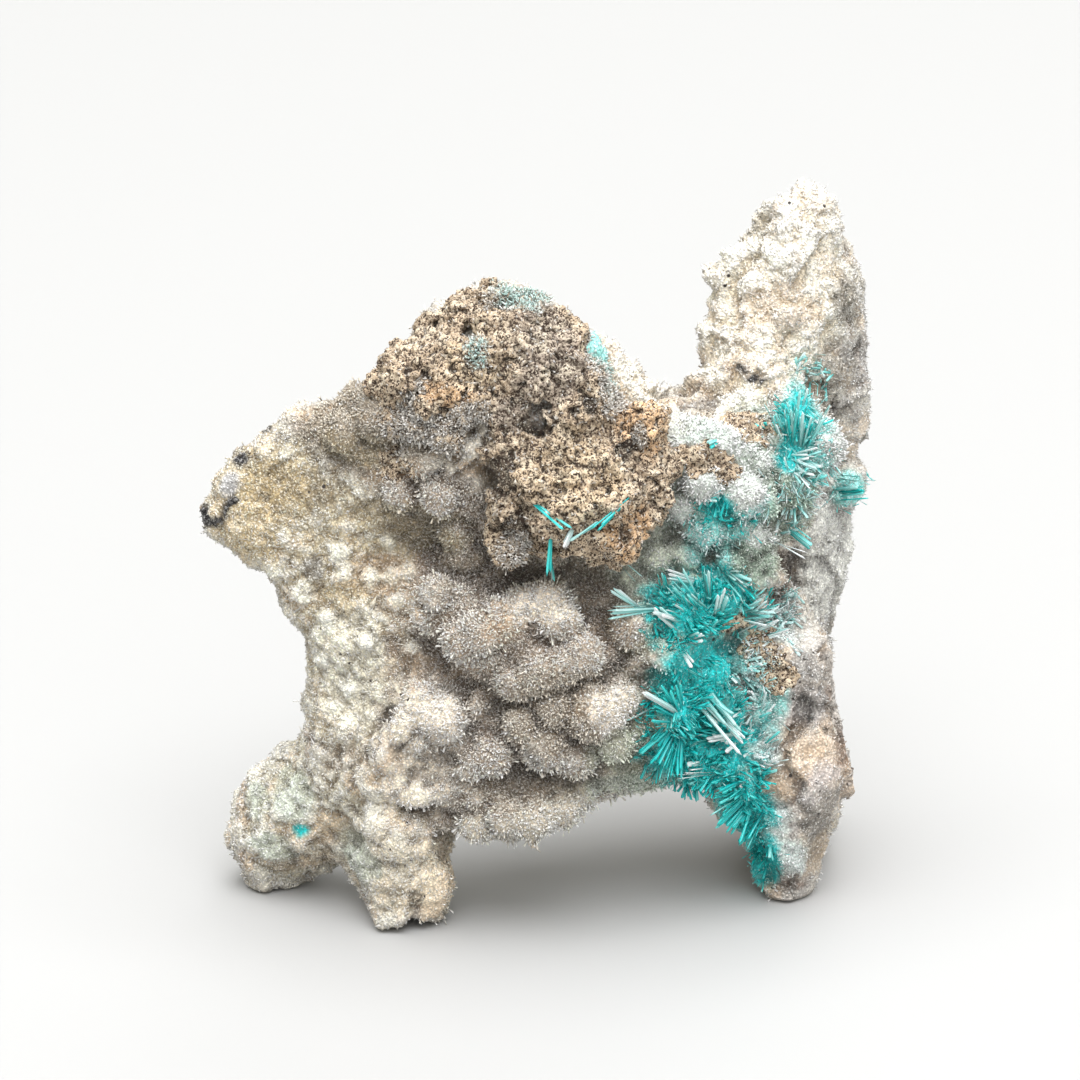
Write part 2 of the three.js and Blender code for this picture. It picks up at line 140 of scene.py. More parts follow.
def add_floor():
    corners = [(x * FLOOR_HALF, y * FLOOR_HALF, 0) for x, y in ((-1, -1), (1, -1), (1, 1), (-1, 1))]
    mesh = bpy.data.meshes.new("floor")
    mesh.from_pydata(corners, [], [(0, 1, 2, 3)])
    floor = new_object("floor", mesh)
    material = bpy.data.materials.new("white_table")
    material.use_nodes = True
    shader = material.node_tree.nodes["Principled BSDF"]
    shader.inputs["Base Color"].default_value = FLOOR_COLOUR
    shader.inputs["Roughness"].default_value = FLOOR_ROUGHNESS
    mesh.materials.append(material)


# ---------- Noise on arrays of points ----------

# Where the noise and its cells start, in their own sizes, away from the specimen's middle.
NOISE_SHIFT = 71.3
CELL_SHIFT = 31.7


def hashed(cells, seed):
    """A number from 0 to 1 for each whole-numbered cell."""
    h = cells[..., 0] * 73856093 ^ cells[..., 1] * 19349663 ^ cells[..., 2] * 83492791 ^ seed * 374761393
    h = (h & 0xFFFFFFFF) * 1274126177 & 0xFFFFFFFF
    h = (h ^ h >> 15) * 2246822519 & 0xFFFFFFFF
    return (h ^ h >> 13) / 0xFFFFFFFF


def value_noise(points, size, seed):
    """Smooth noise from 0 to 1 with features of that size."""
    scaled = points / size + NOISE_SHIFT
    cell = np.floor(scaled).astype(np.int64)
    t = scaled - cell
    t = t * t * (3 - 2 * t)
    total = np.zeros(len(points))
    for corner in itertools.product((0, 1), repeat=3):
        share = np.prod(np.where(corner, t, 1 - t), axis=1)
        total += share * hashed(cell + np.array(corner), seed)
    return total


def fractal(points, size, octaves, seed):
    """Noise from 0 to 1, each octave half the size and half the height of the one before."""
    total, weight = 0, 0
    for octave in range(octaves):
        share = 0.5**octave
        total = total + share * value_noise(points, size * share, seed + octave)
        weight += share
    return total / weight


def jittered(cells, seed):
    """Three numbers from 0 to 1 for each cell."""
    return np.stack([hashed(cells, seed + axis) for axis in range(3)], axis=1)


def cells_near(points, size, seed):
    """The points in cell sizes, and one cell beside each of them with a random place in it, 27 times."""
    scaled = points / size + CELL_SHIFT
    cell = np.floor(scaled).astype(np.int64)
    for step in itertools.product((-1, 0, 1), repeat=3):
        neighbour = cell + np.array(step)
        yield scaled, neighbour, jittered(neighbour, seed)


def cell_distance(points, size, seed):
    """Distance to the nearest of randomly jittered points that are about that size apart, in sizes."""
    nearest = np.full(len(points), 9.0)
    for scaled, neighbour, jitter in cells_near(points, size, seed):
        nearest = np.minimum(nearest, ((neighbour + jitter - scaled) ** 2).sum(axis=1))
    return np.sqrt(nearest)


def smooth_step(low, high, value):
    t = np.clip((value - low) / (high - low), 0, 1)
    return t * t * (3 - 2 * t)


# ---------- Mesh arrays ----------

IN_FRONT = -60.0  # a y that is clear of the specimen, mm


def unit(vectors):
    return vectors / np.maximum(np.linalg.norm(vectors, axis=-1, keepdims=True), 1e-12)


def arrays_of(mesh):
    """A mesh's points, in the units it has, and its triangles."""
    points = np.empty(len(mesh.vertices) * 3)
    mesh.vertices.foreach_get("co", points)
    mesh.calc_loop_triangles()
    faces = np.empty(len(mesh.loop_triangles) * 3, dtype=np.int32)
    mesh.loop_triangles.foreach_get("vertices", faces)
    return points.reshape(-1, 3), faces.reshape(-1, 3)


def mesh_from(name, points, faces):
    """A mesh of those faces, which all have as many sides."""
    mesh = bpy.data.meshes.new(name)
    sides = faces.shape[1]
    mesh.vertices.add(len(points))
    mesh.vertices.foreach_set("co", np.ascontiguousarray(points, dtype=np.float32).ravel())
    mesh.loops.add(faces.size)
    mesh.loops.foreach_set("vertex_index", np.ascontiguousarray(faces, dtype=np.int32).ravel())
    mesh.polygons.add(len(faces))
    mesh.polygons.foreach_set("loop_start", np.arange(0, faces.size, sides, dtype=np.int32))
    mesh.polygons.foreach_set("loop_total", np.full(len(faces), sides, dtype=np.int32))
    mesh.update(calc_edges=True)
    return mesh


def put_colours(mesh, colours):
    """Colours at the points, as the layer that materials read."""
    rgba = np.ones((len(colours), 4), dtype=np.float32)
    rgba[:, :3] = np.clip(colours, 0, 1)
    layer = mesh.color_attributes.new(name="tint", type="FLOAT_COLOR", domain="POINT")
    layer.data.foreach_set("color", rgba.ravel())


def coloured_arrays_of(mesh):
    rgba = np.empty(len(mesh.vertices) * 4, dtype=np.float32)
    mesh.attributes["tint"].data.foreach_get("color", rgba)
    return *arrays_of(mesh), rgba.reshape(-1, 4)[:, :3].astype(float)


def reshaped(mesh, kind, read, **settings):
    """What read gets from a mesh once that modifier has shaped it. The mesh itself is removed."""
    obj = new_object("to_reshape", mesh)
    modifier = obj.modifiers.new("modifier", kind)
    for key, value in settings.items():
        setattr(modifier, key, value)
    shaped = obj.evaluated_get(bpy.context.evaluated_depsgraph_get())
    result = read(shaped.to_mesh())
    shaped.to_mesh_clear()
    bpy.data.objects.remove(obj)
    bpy.data.meshes.remove(mesh)
    return result


def remeshed(points, faces, voxel):
    """Every shell among these faces joined in one closed skin of small even triangles."""
    mesh = mesh_from("to_remesh", points, faces)
    return reshaped(mesh, "REMESH", arrays_of, mode="VOXEL", voxel_size=voxel)


def thinned(skin, count):
    """The same skin and colours in that many triangles, the largest where it is flattest."""
    mesh = mesh_from("to_thin", skin["points"], skin["faces"])
    put_colours(mesh, skin["colours"])
    ratio = min(1.0, count / len(skin["faces"]))
    return reshaped(mesh, "DECIMATE", coloured_arrays_of, ratio=ratio, use_collapse_triangulate=True)


def joined(parts):
    """Several (points, faces) in one."""
    points, faces, start = [], [], 0
    for part_points, part_faces in parts:
        points.append(part_points)
        faces.append(part_faces + start)
        start += len(part_points)
    return np.concatenate(points), np.concatenate(faces)


def face_normals(points, faces):
    """Normals as long as twice each triangle's area."""
    a, b, c = (points[faces[:, k]] for k in range(3))
    return np.cross(b - a, c - a)


def areas(points, faces):
    """Weights for random places on a mesh: twice each triangle's area."""
    return np.linalg.norm(face_normals(points, faces), axis=1)


def normals_of(points, faces):
    """Unit normals at the points."""
    flat = face_normals(points, faces)
    total = np.zeros_like(points)
    for axis in range(3):
        for corner in range(3):
            total[:, axis] += np.bincount(faces[:, corner], flat[:, axis], len(points))
    return unit(total)


def relaxed(values, faces, times):
    """Values at the points, each averaged with its neighbours' that many times."""
    start = faces.ravel()
    end = np.roll(faces, -1, axis=1).ravel()
    count = np.bincount(start, minlength=len(values))[:, None]
    for _ in range(times):
        columns = [np.bincount(start, column[end], len(values)) for column in values.T]
        values = 0.4 * values + 0.6 * np.stack(columns, axis=1) / count
    return values


def icosphere(subdivisions):
    shape = bmesh.new()
    bmesh.ops.create_icosphere(shape, subdivisions=subdivisions, radius=1)
    mesh = bpy.data.meshes.new("ball")
    shape.to_mesh(mesh)
    shape.free()
    return arrays_of(mesh)


def balls(centres, radii, subdivisions, roughness, seed):
    """Balls as one mesh, each pushed in and out at random by that share of its radius."""
    points, faces = icosphere(subdivisions)
    centres = np.asarray(centres, dtype=float)
    radii = np.asarray(radii, dtype=float)
    rng = np.random.default_rng(seed)
    push = 1 + roughness * rng.uniform(-1, 1, (len(centres), len(points)))
    places = centres[:, None] + points[None] * (radii[:, None] * push)[..., None]
    shells = faces[None] + (np.arange(len(centres)) * len(points))[:, None, None]
    return places.reshape(-1, 3), shells.reshape(-1, 3)


def tree_of(points, faces):
    return BVHTree.FromPolygons(points.tolist(), faces.tolist())


def front_of(tree, x, z):
    """The y at which something coming from the front meets the surface."""
    hit = tree.ray_cast(Vector((x, IN_FRONT, z)), Vector((0, 1, 0)))[0]
    if hit is None:
        hit = tree.find_nearest(Vector((x, 0, z)))[0]
    return hit.y


def scattered(points, faces, weights, count, rng):
    """Random places on the surface, with their triangles, thick where the weights are large."""
    share = np.cumsum(weights)
    picked = np.searchsorted(share, rng.uniform(0, share[-1], count))
    u = np.sqrt(rng.uniform(0, 1, count))[:, None]
    v = rng.uniform(0, 1, count)[:, None]
    a, b, c = (points[faces[picked, k]] for k in range(3))
    return (1 - u) * a + u * (1 - v) * b + u * v * c, picked


# ---------- Zones: what grows where ----------


def table(columns, **rows):
    """Rows by name, each with its values by column."""
    return {name: dict(zip(columns.split(), row)) for name, row in rows.items()}


def srgb(red, green, blue):
    """A colour as seen on a screen, as the light values that shaders use."""
    value = np.array((red, green, blue)) / 255
    return np.where(value <= 0.04045, value / 12.92, ((value + 0.055) / 1.055) ** 2.4)


# How wide an area's edge is and how far it wanders, as shares of the area's radii.
EDGE_WIDTH = 0.22
EDGE_WARP = 0.5
# The size in mm of the noise that edges wander by, and the first seed of each kind of noise.
ZONE_WARP_SIZE = 3.0
TINT_WARP_SIZE = 1.2
ZONE_SEED = 40
TINT_SEED = 70
MOTTLE_SEED = 160

# ground is the rock's own skin, crest its bumps, paler partly as painted highlight, deep its hollows, darker
# partly as painted shade, crystal what grows on it.
# length is the needles', mm. crowd is how many of them grow there, grit how many loose-lying grains.
# cushion, grain, lump, chip, ledge and rough say how much of each kind of relief there is.
# places are ellipsoids, as x, y, z and three radii. The first zone is all that no other one covers.
ZONES = table(
    "ground crest deep crystal length crowd grit cushion grain lump chip ledge rough places",
    back=(
        srgb(180, 168, 148), srgb(228, 220, 204), srgb(104, 88, 70), srgb(240, 234, 224),
        0.3, 0.3, 0.5, 0.8, 0.4, 1.3, 0.6, 0.2, 1, [],
    ),
    wing=(
        srgb(202, 188, 156), srgb(248, 244, 230), srgb(140, 116, 80), srgb(252, 248, 232),
        0.2, 0.1, 1.7, 0.3, 1.1, 0.6, 0.2, 0.15, 1, [(-20, -1, 33, 12, 9, 10), (-17, -2, 23, 8, 8, 7)],
    ),
    knob=(
        srgb(206, 197, 172), srgb(248, 244, 230), srgb(128, 110, 82), srgb(252, 248, 234),
        0.2, 0.08, 1.6, 0.5, 1, 0.9, 0.4, 0.2, 1, [(-21, 0, 8, 8, 8, 8), (-14, -4, 8, 6, 7, 8)],
    ),
    slope=(
        srgb(124, 110, 91), srgb(166, 154, 136), srgb(74, 58, 42), srgb(194, 183, 165),
        0.28, 1.5, 0.8, 0.6, 0.5, 0.5, 0, 0, 1, [(-13, -3, 45, 8, 9, 6)],
    ),
    cushions=(
        srgb(136, 120, 102), srgb(184, 170, 152), srgb(80, 62, 46), srgb(240, 231, 218),
        0.32, 2.3, 0.8, 0.5, 0.4, 0.3, 0, 0, 1,
        [(-1, -8, 24, 11, 9, 10), (1, -6, 12, 12, 9, 6), (-5, -6, 33, 7, 6, 6), (-8, -6, 38, 5, 5, 4)],
    ),
    pocket=(
        srgb(142, 144, 122), srgb(184, 187, 166), srgb(78, 72, 54), srgb(216, 221, 202),
        0.26, 1.9, 0.6, 0.5, 0.3, 0.3, 0, 0, 1,
        [(11, -4, 28, 5, 6, 6), (9, -6, 17, 5, 6, 7), (21, 0, 34, 4, 5, 4)],
    ),
    shoulder=(
        srgb(190, 204, 188), srgb(238, 244, 236), srgb(104, 98, 78), srgb(246, 251, 245),
        0.32, 2, 0.7, 0.7, 0.4, 0.3, 0, 0, 1, [(15, -3, 38, 7, 7, 7), (22, 3, 40, 5, 7, 6)],
    ),
    horn=(
        srgb(250, 241, 220), srgb(254, 252, 246), srgb(228, 202, 162), srgb(253, 250, 242),
        0.22, 0.15, 1.4, 0.3, 1, 1.1, 1.1, 0.2, 1, [(20, 10, 54, 9, 9, 11), (14, 4, 47, 9, 8, 4)],
    ),
    back_wing=(
        srgb(186, 180, 166), srgb(226, 222, 212), srgb(108, 96, 80), srgb(240, 237, 230),
        0.2, 0.4, 0.7, 0.2, 0.3, 0.5, 0.6, 0.1, 0.7, [(27, 16, 34, 6, 5, 20)],
    ),
    right_foot=(
        srgb(186, 176, 166), srgb(222, 216, 208), srgb(122, 106, 92), srgb(226, 222, 216),
        0.2, 0.05, 0.45, 0, 0.1, 0.3, 1, 0.1, 0.45, [(22.5, -1, 13, 6, 7, 12)],
    ),
)
ZONE_NAMES = list(ZONES)


def inside(points, places, warp_size, seed):
    """1 inside any of these ellipsoids (x, y, z and three radii), 0 outside, with a wandering edge."""
    wander = (fractal(points, warp_size, 3, seed) - 0.5) * EDGE_WARP * 2
    best = np.full(len(points), 9.0)
    for x, y, z, rx, ry, rz in places:
        offset = (points - (x, y, z)) / (rx, ry, rz)
        best = np.minimum(best, np.linalg.norm(offset, axis=1))
    return smooth_step(1 + EDGE_WIDTH, 1 - EDGE_WIDTH, best + wander)


def zone_shares(points):
    """How much of each zone there is at each point."""
    shares = np.zeros((len(points), len(ZONES)))
    shares[:, 0] = 1
    for index, name in enumerate(ZONE_NAMES[1:], start=1):
        weight = inside(points, ZONES[name]["places"], ZONE_WARP_SIZE, ZONE_SEED + index)
        shares *= (1 - weight)[:, None]
        shares[:, index] = weight
    return shares


def zone_value(shares, key):
    return shares @ np.array([ZONES[name][key] for name in ZONE_NAMES], dtype=float)


def zone_mix(shares, amounts):
    """Amounts by zone's name, none for a zone that isn't named."""
    return shares @ np.array([amounts.get(name, 0.0) for name in ZONE_NAMES])


def laid_over(colours, weight, other):
    """Those colours with the other one over them, as much as weight says."""
    return colours + weight[:, None] * (other - colours)


# Small white lumps on the wing, as x, z and radius.
NODULES = [
    (-16.7, 32.6, 0.9), (-16, 31.1, 0.8), (-13.9, 30.5, 0.8), (-12.2, 30.7, 0.8), (-10.8, 31.2, 0.7),
    (-14.3, 25.4, 0.8), (-10.6, 25.3, 0.7), (-14.5, 28.3, 0.7), (-11.7, 29, 0.7), (-17.6, 26.8, 0.8),
    (-15.8, 20.9, 0.9), (-19.6, 28.8, 0.9), (-22, 30.4, 0.8), (-12.6, 33.8, 0.6), (-18.2, 23, 0.8),
]

# Tints over the zones: the colours of ground and crystal, how strong they are, and where. Some of them are
# painted light and some painted shade, as marked at each.
TINTS = table(
    "ground crystal strength places",
    tan=(srgb(196, 164, 130), srgb(232, 212, 188), 0.45, [
        (0.2, -8.5, 29.2, 1.9, 2.4, 1), (-3.2, -10, 28.2, 2.6, 2.4, 1.2), (5.4, -7, 26.8, 1.4, 2, 1.2),
        (-11.4, -7, 22.6, 2.4, 3, 2.6), (3.6, -9.4, 20.8, 1.8, 2, 1.6), (-8.4, -7, 4.2, 2.6, 3.4, 3.6),
        (19.6, -3.6, 14.5, 3.2, 2.4, 4.6), (24.6, -2, 13, 1.6, 3, 7), (-13, -5, 31, 4, 3, 1.6),
        (20, 8, 50, 3.4, 5, 2.4), (15, 3, 46, 4, 4, 1.4), (18, 9, 58, 2.4, 4, 2),
    ]),
    # The wing's olive-brown hollow bands: their own colour, and darker as painted shade.
    olive=(srgb(146, 130, 98), srgb(204, 194, 166), 0.75, [
        (-14.6, -5, 42, 4.4, 4, 1.5), (-10.6, -5.5, 36.4, 5.2, 3, 1.5), (-9.6, -5.5, 34.4, 4.2, 3, 1.4),
        (-20, -3, 38, 4, 3, 1.6),
    ]),
    # Painted shade: the recessed middle and the rock under the cap made darker.
    shaded=(srgb(122, 110, 92), srgb(194, 184, 164), 0.55, [
        (1, -9, 21.5, 5, 5, 4), (-1.5, -7, 13.5, 6, 5, 2.2), (-13, -3, 45.5, 6, 6, 4), (0, -8, 32, 9, 4, 1.6),
    ]),
    # Painted light: cushions made paler where the light falls on them.
    bright=(srgb(230, 215, 194), srgb(254, 250, 242), 0.88, [
        (-9.4, -8, 19.4, 4.2, 6, 3.4), (-9.5, -8, 13.8, 3.8, 6, 3), (6.2, -8, 21.2, 2.6, 6, 1.6),
        (0.6, -9, 29.6, 3.4, 5, 1.2),
    ]),
    arch_rim=(srgb(206, 195, 174), srgb(247, 241, 227), 0.7, [
        (-3.3, -9, 9.6, 3.6, 6, 1.8), (0.5, -9, 10.8, 3.6, 6, 1.7), (5, -9, 12.6, 3.5, 6, 1.6),
    ]),
    # Painted light: the three lit tints below make their places paler, as if more light fell there.
    lit_green=(srgb(220, 224, 204), srgb(248, 252, 240), 0.88, [
        (9.2, -4, 31.6, 3.6, 7, 2.8), (7.2, -9.4, 33.2, 2.8, 5, 2.4),
    ]),
    lit_grey=(srgb(224, 224, 217), srgb(250, 251, 248), 0.85, [(25.6, 15.5, 26, 4, 7, 7)]),
    lit_tan=(srgb(224, 205, 178), srgb(244, 230, 208), 0.8, [(-7.9, -7.9, 4.2, 3, 5, 3.8)]),
    foot_orange=(srgb(204, 180, 152), srgb(226, 208, 184), 0.45, [
        (20.2, -3.5, 12.6, 1.9, 4, 2.6), (22, -3, 15.4, 2.4, 4, 1.5), (19.6, -3.5, 17.8, 0.9, 4, 1.2),
    ]),
    foot_mauve=(srgb(190, 182, 180), srgb(226, 222, 222), 0.65, [
        (22, -3, 18.6, 2.6, 4, 1.8), (23.6, -3, 11.4, 1.6, 4, 2.6),
    ]),
    foot_low=(srgb(142, 134, 126), srgb(190, 186, 180), 0.7, [
        (23.2, -2.5, 6.2, 2.6, 4, 2.6), (22.4, -2.5, 3, 2.4, 4, 1.4),
    ]),
    foot_brown=(srgb(98, 76, 60), srgb(140, 116, 94), 0.75, [
        (24.2, -2, 4.6, 1.2, 3, 1.6), (25.2, -1.5, 9.4, 1, 3, 1.8), (24.6, -1.5, 20.2, 0.9, 3, 2.2),
        (21.6, -3, 1.6, 2, 3, 0.6), (25.6, -1.5, 14.6, 0.9, 3, 1.6), (21.8, -2.8, 19.6, 0.8, 2, 1),
    ]),
    wing_low=(srgb(240, 234, 212), srgb(254, 252, 242), 0.7, [(-16, -5, 22.5, 4, 7, 5)]),
    left_foot=(srgb(220, 207, 182), srgb(250, 240, 218), 0.65, [(-12, -8.5, 6, 3.6, 6, 4.4)]),
    tip=(srgb(180, 158, 116), srgb(222, 210, 176), 0.5, [(-24.6, 0, 36.5, 3.4, 6, 4.6)]),
    sooty=(srgb(176, 160, 136), srgb(222, 212, 192), 0.6, [
        (24.4, -2, 6.5, 3, 4, 5), (-20.5, -3, 3.6, 4, 4, 2.6),
    ]),
    nodule=(srgb(248, 244, 226), srgb(254, 252, 240), 0.45, [
        (x, -3, z, 1.1 * r, 7, 1.1 * r) for x, z, r in NODULES
    ]),
    pale_band=(srgb(214, 228, 222), srgb(246, 254, 252), 0.9, [
        (18.4, -3, 22, 1.7, 4, 3.2), (18.8, -3, 16.6, 1.6, 4, 3.4), (20.6, -1.5, 25.4, 2.6, 4, 1.6),
        (19.6, -3, 8.4, 1.3, 4, 2.6), (21.4, -3, 4.6, 1.4, 4, 1.8),
    ]),
    ochre=(srgb(186, 162, 116), srgb(232, 220, 190), 0.5, [
        (-22, -2, 37, 3.6, 4, 2.4), (-24, -1, 32.4, 3, 4, 1.8), (-16, -4, 29, 2.4, 3, 1.4),
    ]),
    pale_green=(srgb(182, 204, 190), srgb(220, 234, 224), 0.42, [
        (-21, -2.5, 10.4, 2.2, 3, 2.2), (-15.6, -6, 6, 2.2, 3, 2.4), (-22.6, -2, 5.4, 2, 3, 1.6),
        (8, -6, 12.6, 5, 4, 1), (-24, 0, 9, 1.6, 3, 1.4), (13, -5, 44, 3, 3, 1.6),
    ]),
    pale_teal=(srgb(146, 226, 218), srgb(210, 249, 244), 0.9, [
        (-1.7, -4, 54.4, 2.4, 3, 1.4), (5.2, -3.4, 50.2, 2, 4, 3), (1.8, -3.8, 53.6, 1.6, 2, 1),
        (14.4, -4, 33.8, 2.6, 2, 2.6), (22.6, 2, 43.4, 2.4, 4, 2.6), (22.4, 0, 37.4, 2, 3, 2.6),
        (17.4, -4, 36.2, 2.4, 2, 1.4), (19.2, -3.2, 20.4, 1.6, 2, 3.4), (16.8, -3.4, 23.4, 2.2, 2, 2),
        (26.6, 15.6, 32, 1.6, 2, 1.6),
    ]),
    glassy=(srgb(134, 154, 136), srgb(184, 200, 180), 0.85, [
        (20.6, -1, 36.4, 3.4, 4, 2.8), (17.6, -3, 31, 2, 4, 2.4),
    ]),
    # Painted shadow: the slab made darker close behind the horn, which shades it.
    slab_shade=(srgb(136, 128, 114), srgb(178, 172, 160), 0.85, [
        (24.9, 8.6, 43.2, 1.7, 3.4, 4.4), (24.4, 10.6, 35, 1.8, 3.2, 4.6), (26, 10, 50, 1.4, 3, 2.4),
    ]),
    # Painted shade: the recess between the shoulder and the right foot made dark.
    crevice=(srgb(84, 72, 60), srgb(116, 104, 90), 0.9, [
        (20.6, 3, 29, 2.2, 4, 1.5), (20.8, 11, 25.6, 2.4, 5, 2), (19.4, 2, 27.2, 1.6, 3, 1.4),
    ]),
    teal=(srgb(0, 194, 194), srgb(26, 212, 208), 1, [
        (13.4, -5, 28, 4.6, 7, 3), (12.8, -5, 22, 3.8, 7, 4.4), (13.8, -5, 16, 5, 7, 4.4),
        (17, -3, 9, 2.6, 6, 4.4), (18.8, -1.6, 4, 1.6, 5, 3.4), (21.4, 0.6, 42.4, 1.5, 5, 2.2),
        (20.8, 0, 39.8, 1.3, 5, 1.3), (14.6, -5, 36.6, 1.4, 4, 1.4), (-20.1, -3, 7.4, 0.8, 3, 0.7),
    ]),
    fibre=(srgb(166, 166, 168), srgb(206, 207, 210), 0.85, [(-25.7, -1, 37.3, 0.9, 2, 1.1)]),
    grey=(srgb(122, 119, 114), srgb(212, 211, 208), 0.7, [
        (-18.8, -4, 31, 1.2, 2, 1.2), (24.2, -2.2, 8.6, 2.2, 3, 3), (22.6, -2.6, 20.4, 2, 2, 3),
    ]),
)

# Spots of other colours: size in mm, the noise that they begin above, colour, and strength by zone.
MOTTLES = [
    (2.6, 0.5, srgb(214, 208, 198), dict(back=0.6, right_foot=0.4, back_wing=0.4)),
    (1.9, 0.54, srgb(204, 170, 130), dict(
        right_foot=0.4, knob=0.45, wing=0.3, back=0.5, horn=0.3, back_wing=0.3, cushions=0.2, slope=0.3,
    )),
    (2.4, 0.55, srgb(146, 141, 138), dict(
        right_foot=0.5, back=0.5, back_wing=0.6, knob=0.3, wing=0.25, slope=0.3,
    )),
    (1.2, 0.62, srgb(84, 66, 52), dict(
        right_foot=0.9, back=0.4, knob=0.55, wing=0.35, back_wing=0.4, slope=0.4, horn=0.2,
    )),
]

# Black stains: x, y, z and three radii.
STAINS = [
    (-25.6, 1.4, 40, 1, 2, 1), (-25, 0.2, 39.2, 0.9, 1.5, 0.6), (-28.1, 1, 34, 0.7, 1.5, 1.1),
    (-27.6, 0.2, 33.7, 0.8, 1.2, 0.5), (-26.9, -0.5, 34.1, 0.7, 1.2, 0.45),
    (-26.2, -1.4, 35.2, 0.5, 1.2, 0.7), (-25.6, -1.6, 36, 0.6, 1.2, 0.45), (-23.1, 1.6, 41.6, 0.9, 1.2, 0.4),
    (18, 3.4, 45.1, 1.1, 1.6, 0.35), (16.8, 4.3, 45.8, 0.6, 1.6, 0.4),
]

LIMONITE_PATCHES = [
    (16.8, -0.6, 42.6, 3, 2.2, 1.5), (13, -6, 41.2, 1.8, 2, 1.2), (15.2, -5.4, 40, 1.4, 2, 1.2),
    (16.4, -2.9, 26, 1.5, 1.4, 0.7), (18.4, -2.3, 23.6, 1.5, 1.6, 1.6), (19.8, -3, 21.6, 1.5, 1.6, 1.6),
    (-11.4, -6.7, 40.9, 1.6, 1.6, 1.3), (6.2, -9.5, 36, 2, 2.6, 2.6), (-2.6, -10.4, 37.4, 1.4, 2, 2.2),
]


BLACK = srgb(26, 20, 22)
PATCH_BROWN = srgb(118, 92, 66)
# Marked areas: their ellipsoids, and the size in mm and the seed of the noise that their edges wander by.
AREAS = dict(
    patches=(LIMONITE_PATCHES, 1.2, 77),
    stains=(STAINS, 0.5, 79),
    teal=(TINTS["teal"]["places"], 1.2, 75),
    pale_band=(TINTS["pale_band"]["places"], 1.2, 71),
)


def within(points, area):
    """How far each point is inside a marked area, from 0 to 1."""
    return inside(points, *AREAS[area])


def brightness(colours):
    return colours @ np.array((0.21, 0.72, 0.07))


def tinted(colours, points, key, shade):
    """Those colours with the tints laid over them, as light or dark as shade says."""
    for index, tint in enumerate(TINTS.values()):
        weight = inside(points, tint["places"], TINT_WARP_SIZE, TINT_SEED + index) * tint["strength"]
        colours = laid_over(colours, weight, tint[key] * shade[:, None])
    return colours


def mottled(colours, points, shares, shade):
    """Those colours with the spots laid over them, as light or dark as shade says."""
    for index, (size, over, colour, strength) in enumerate(MOTTLES):
        noise = fractal(points, size, 4, MOTTLE_SEED + 10 * index)
        weight = smooth_step(over, over + 0.1, noise) * zone_mix(shares, strength)
        colours = laid_over(colours, weight, colour * shade[:, None])
    return colours


# ---------- The rock under the crystals ----------

# The solid is rounded and shrunk for the crystals' sake, set with lumps and given a skin. Sizes in mm.
FORM_VOXEL = 0.55
FORM_SMOOTHING = 9
CRYSTAL_ALLOWANCE = 0.35
SKIN_VOXEL = 0.29
SKIN_SMOOTHING = 2
FLOOR_GAP = 0.02
ROCK_TRIANGLES = 188000

# Cushions on the front, as x, z and radius; each has its middle on the surface behind it.
CUSHIONS = [
    (-6.3, 26.8, 1.7), (-4.7, 27.6, 1.9), (-3, 28.4, 1.9), (-1.4, 29, 2), (0.3, 29.2, 2.3), (1.5, 28.2, 1.9),
    (-1.9, 23.5, 1.7), (-0.1, 24.2, 1.9), (1.7, 24.8, 1.9), (3.2, 25.4, 2), (4.4, 20.3, 2.8), (6.3, 21.4, 2),
    (-8.3, 19.7, 2.3), (-10.4, 18.6, 2), (-9.7, 21.3, 1.6), (-4.1, 16.9, 1.8), (-6, 16.1, 1.5),
    (-5.1, 20.8, 1.2), (1.3, 20.9, 1.5), (0.3, 17.6, 2.2), (3.1, 16.4, 1.8), (-1.6, 19.4, 1.6),
    (6.1, 17.6, 1.6), (-2.7, 11.4, 1.6), (-0.5, 11, 1.8), (1.7, 11.3, 1.6), (3.5, 12, 1.4), (-5.3, 10.2, 1.6),
    (-10.7, 8.8, 2.2), (-12.7, 10.2, 1.8), (-8.4, 9.9, 1.5), (-11.7, 16.6, 2.4), (-12.5, 13.8, 2),
    (-10.3, 13.4, 1.7), (-6.4, 32.3, 1.9), (-6.8, 34.9, 1.7), (-8.4, 30.3, 1.6), (-2.4, 34.2, 1.1),
    (-1.5, 33.3, 0.9), (7.8, 27, 2.1), (9.7, 24.8, 1.7), (8.4, 24, 1.4), (13.6, 34.7, 1.8), (17.6, 33.5, 1.5),
    (12.2, 32.2, 1.5), (11.6, 36.9, 1.7), (16.6, 37.6, 1.8), (13.4, 39, 1.6), (18.2, 36.4, 1.4),
    (16, 31.4, 1.3), (9.6, 31.8, 1.3), (18.4, 30.4, 1.6), (-9.4, 41.6, 1.7), (-12.8, 44.4, 2),
    (-16, 42.6, 1.6), (-8.2, 38.6, 1.6), (-11.6, 38.2, 1.4),
]

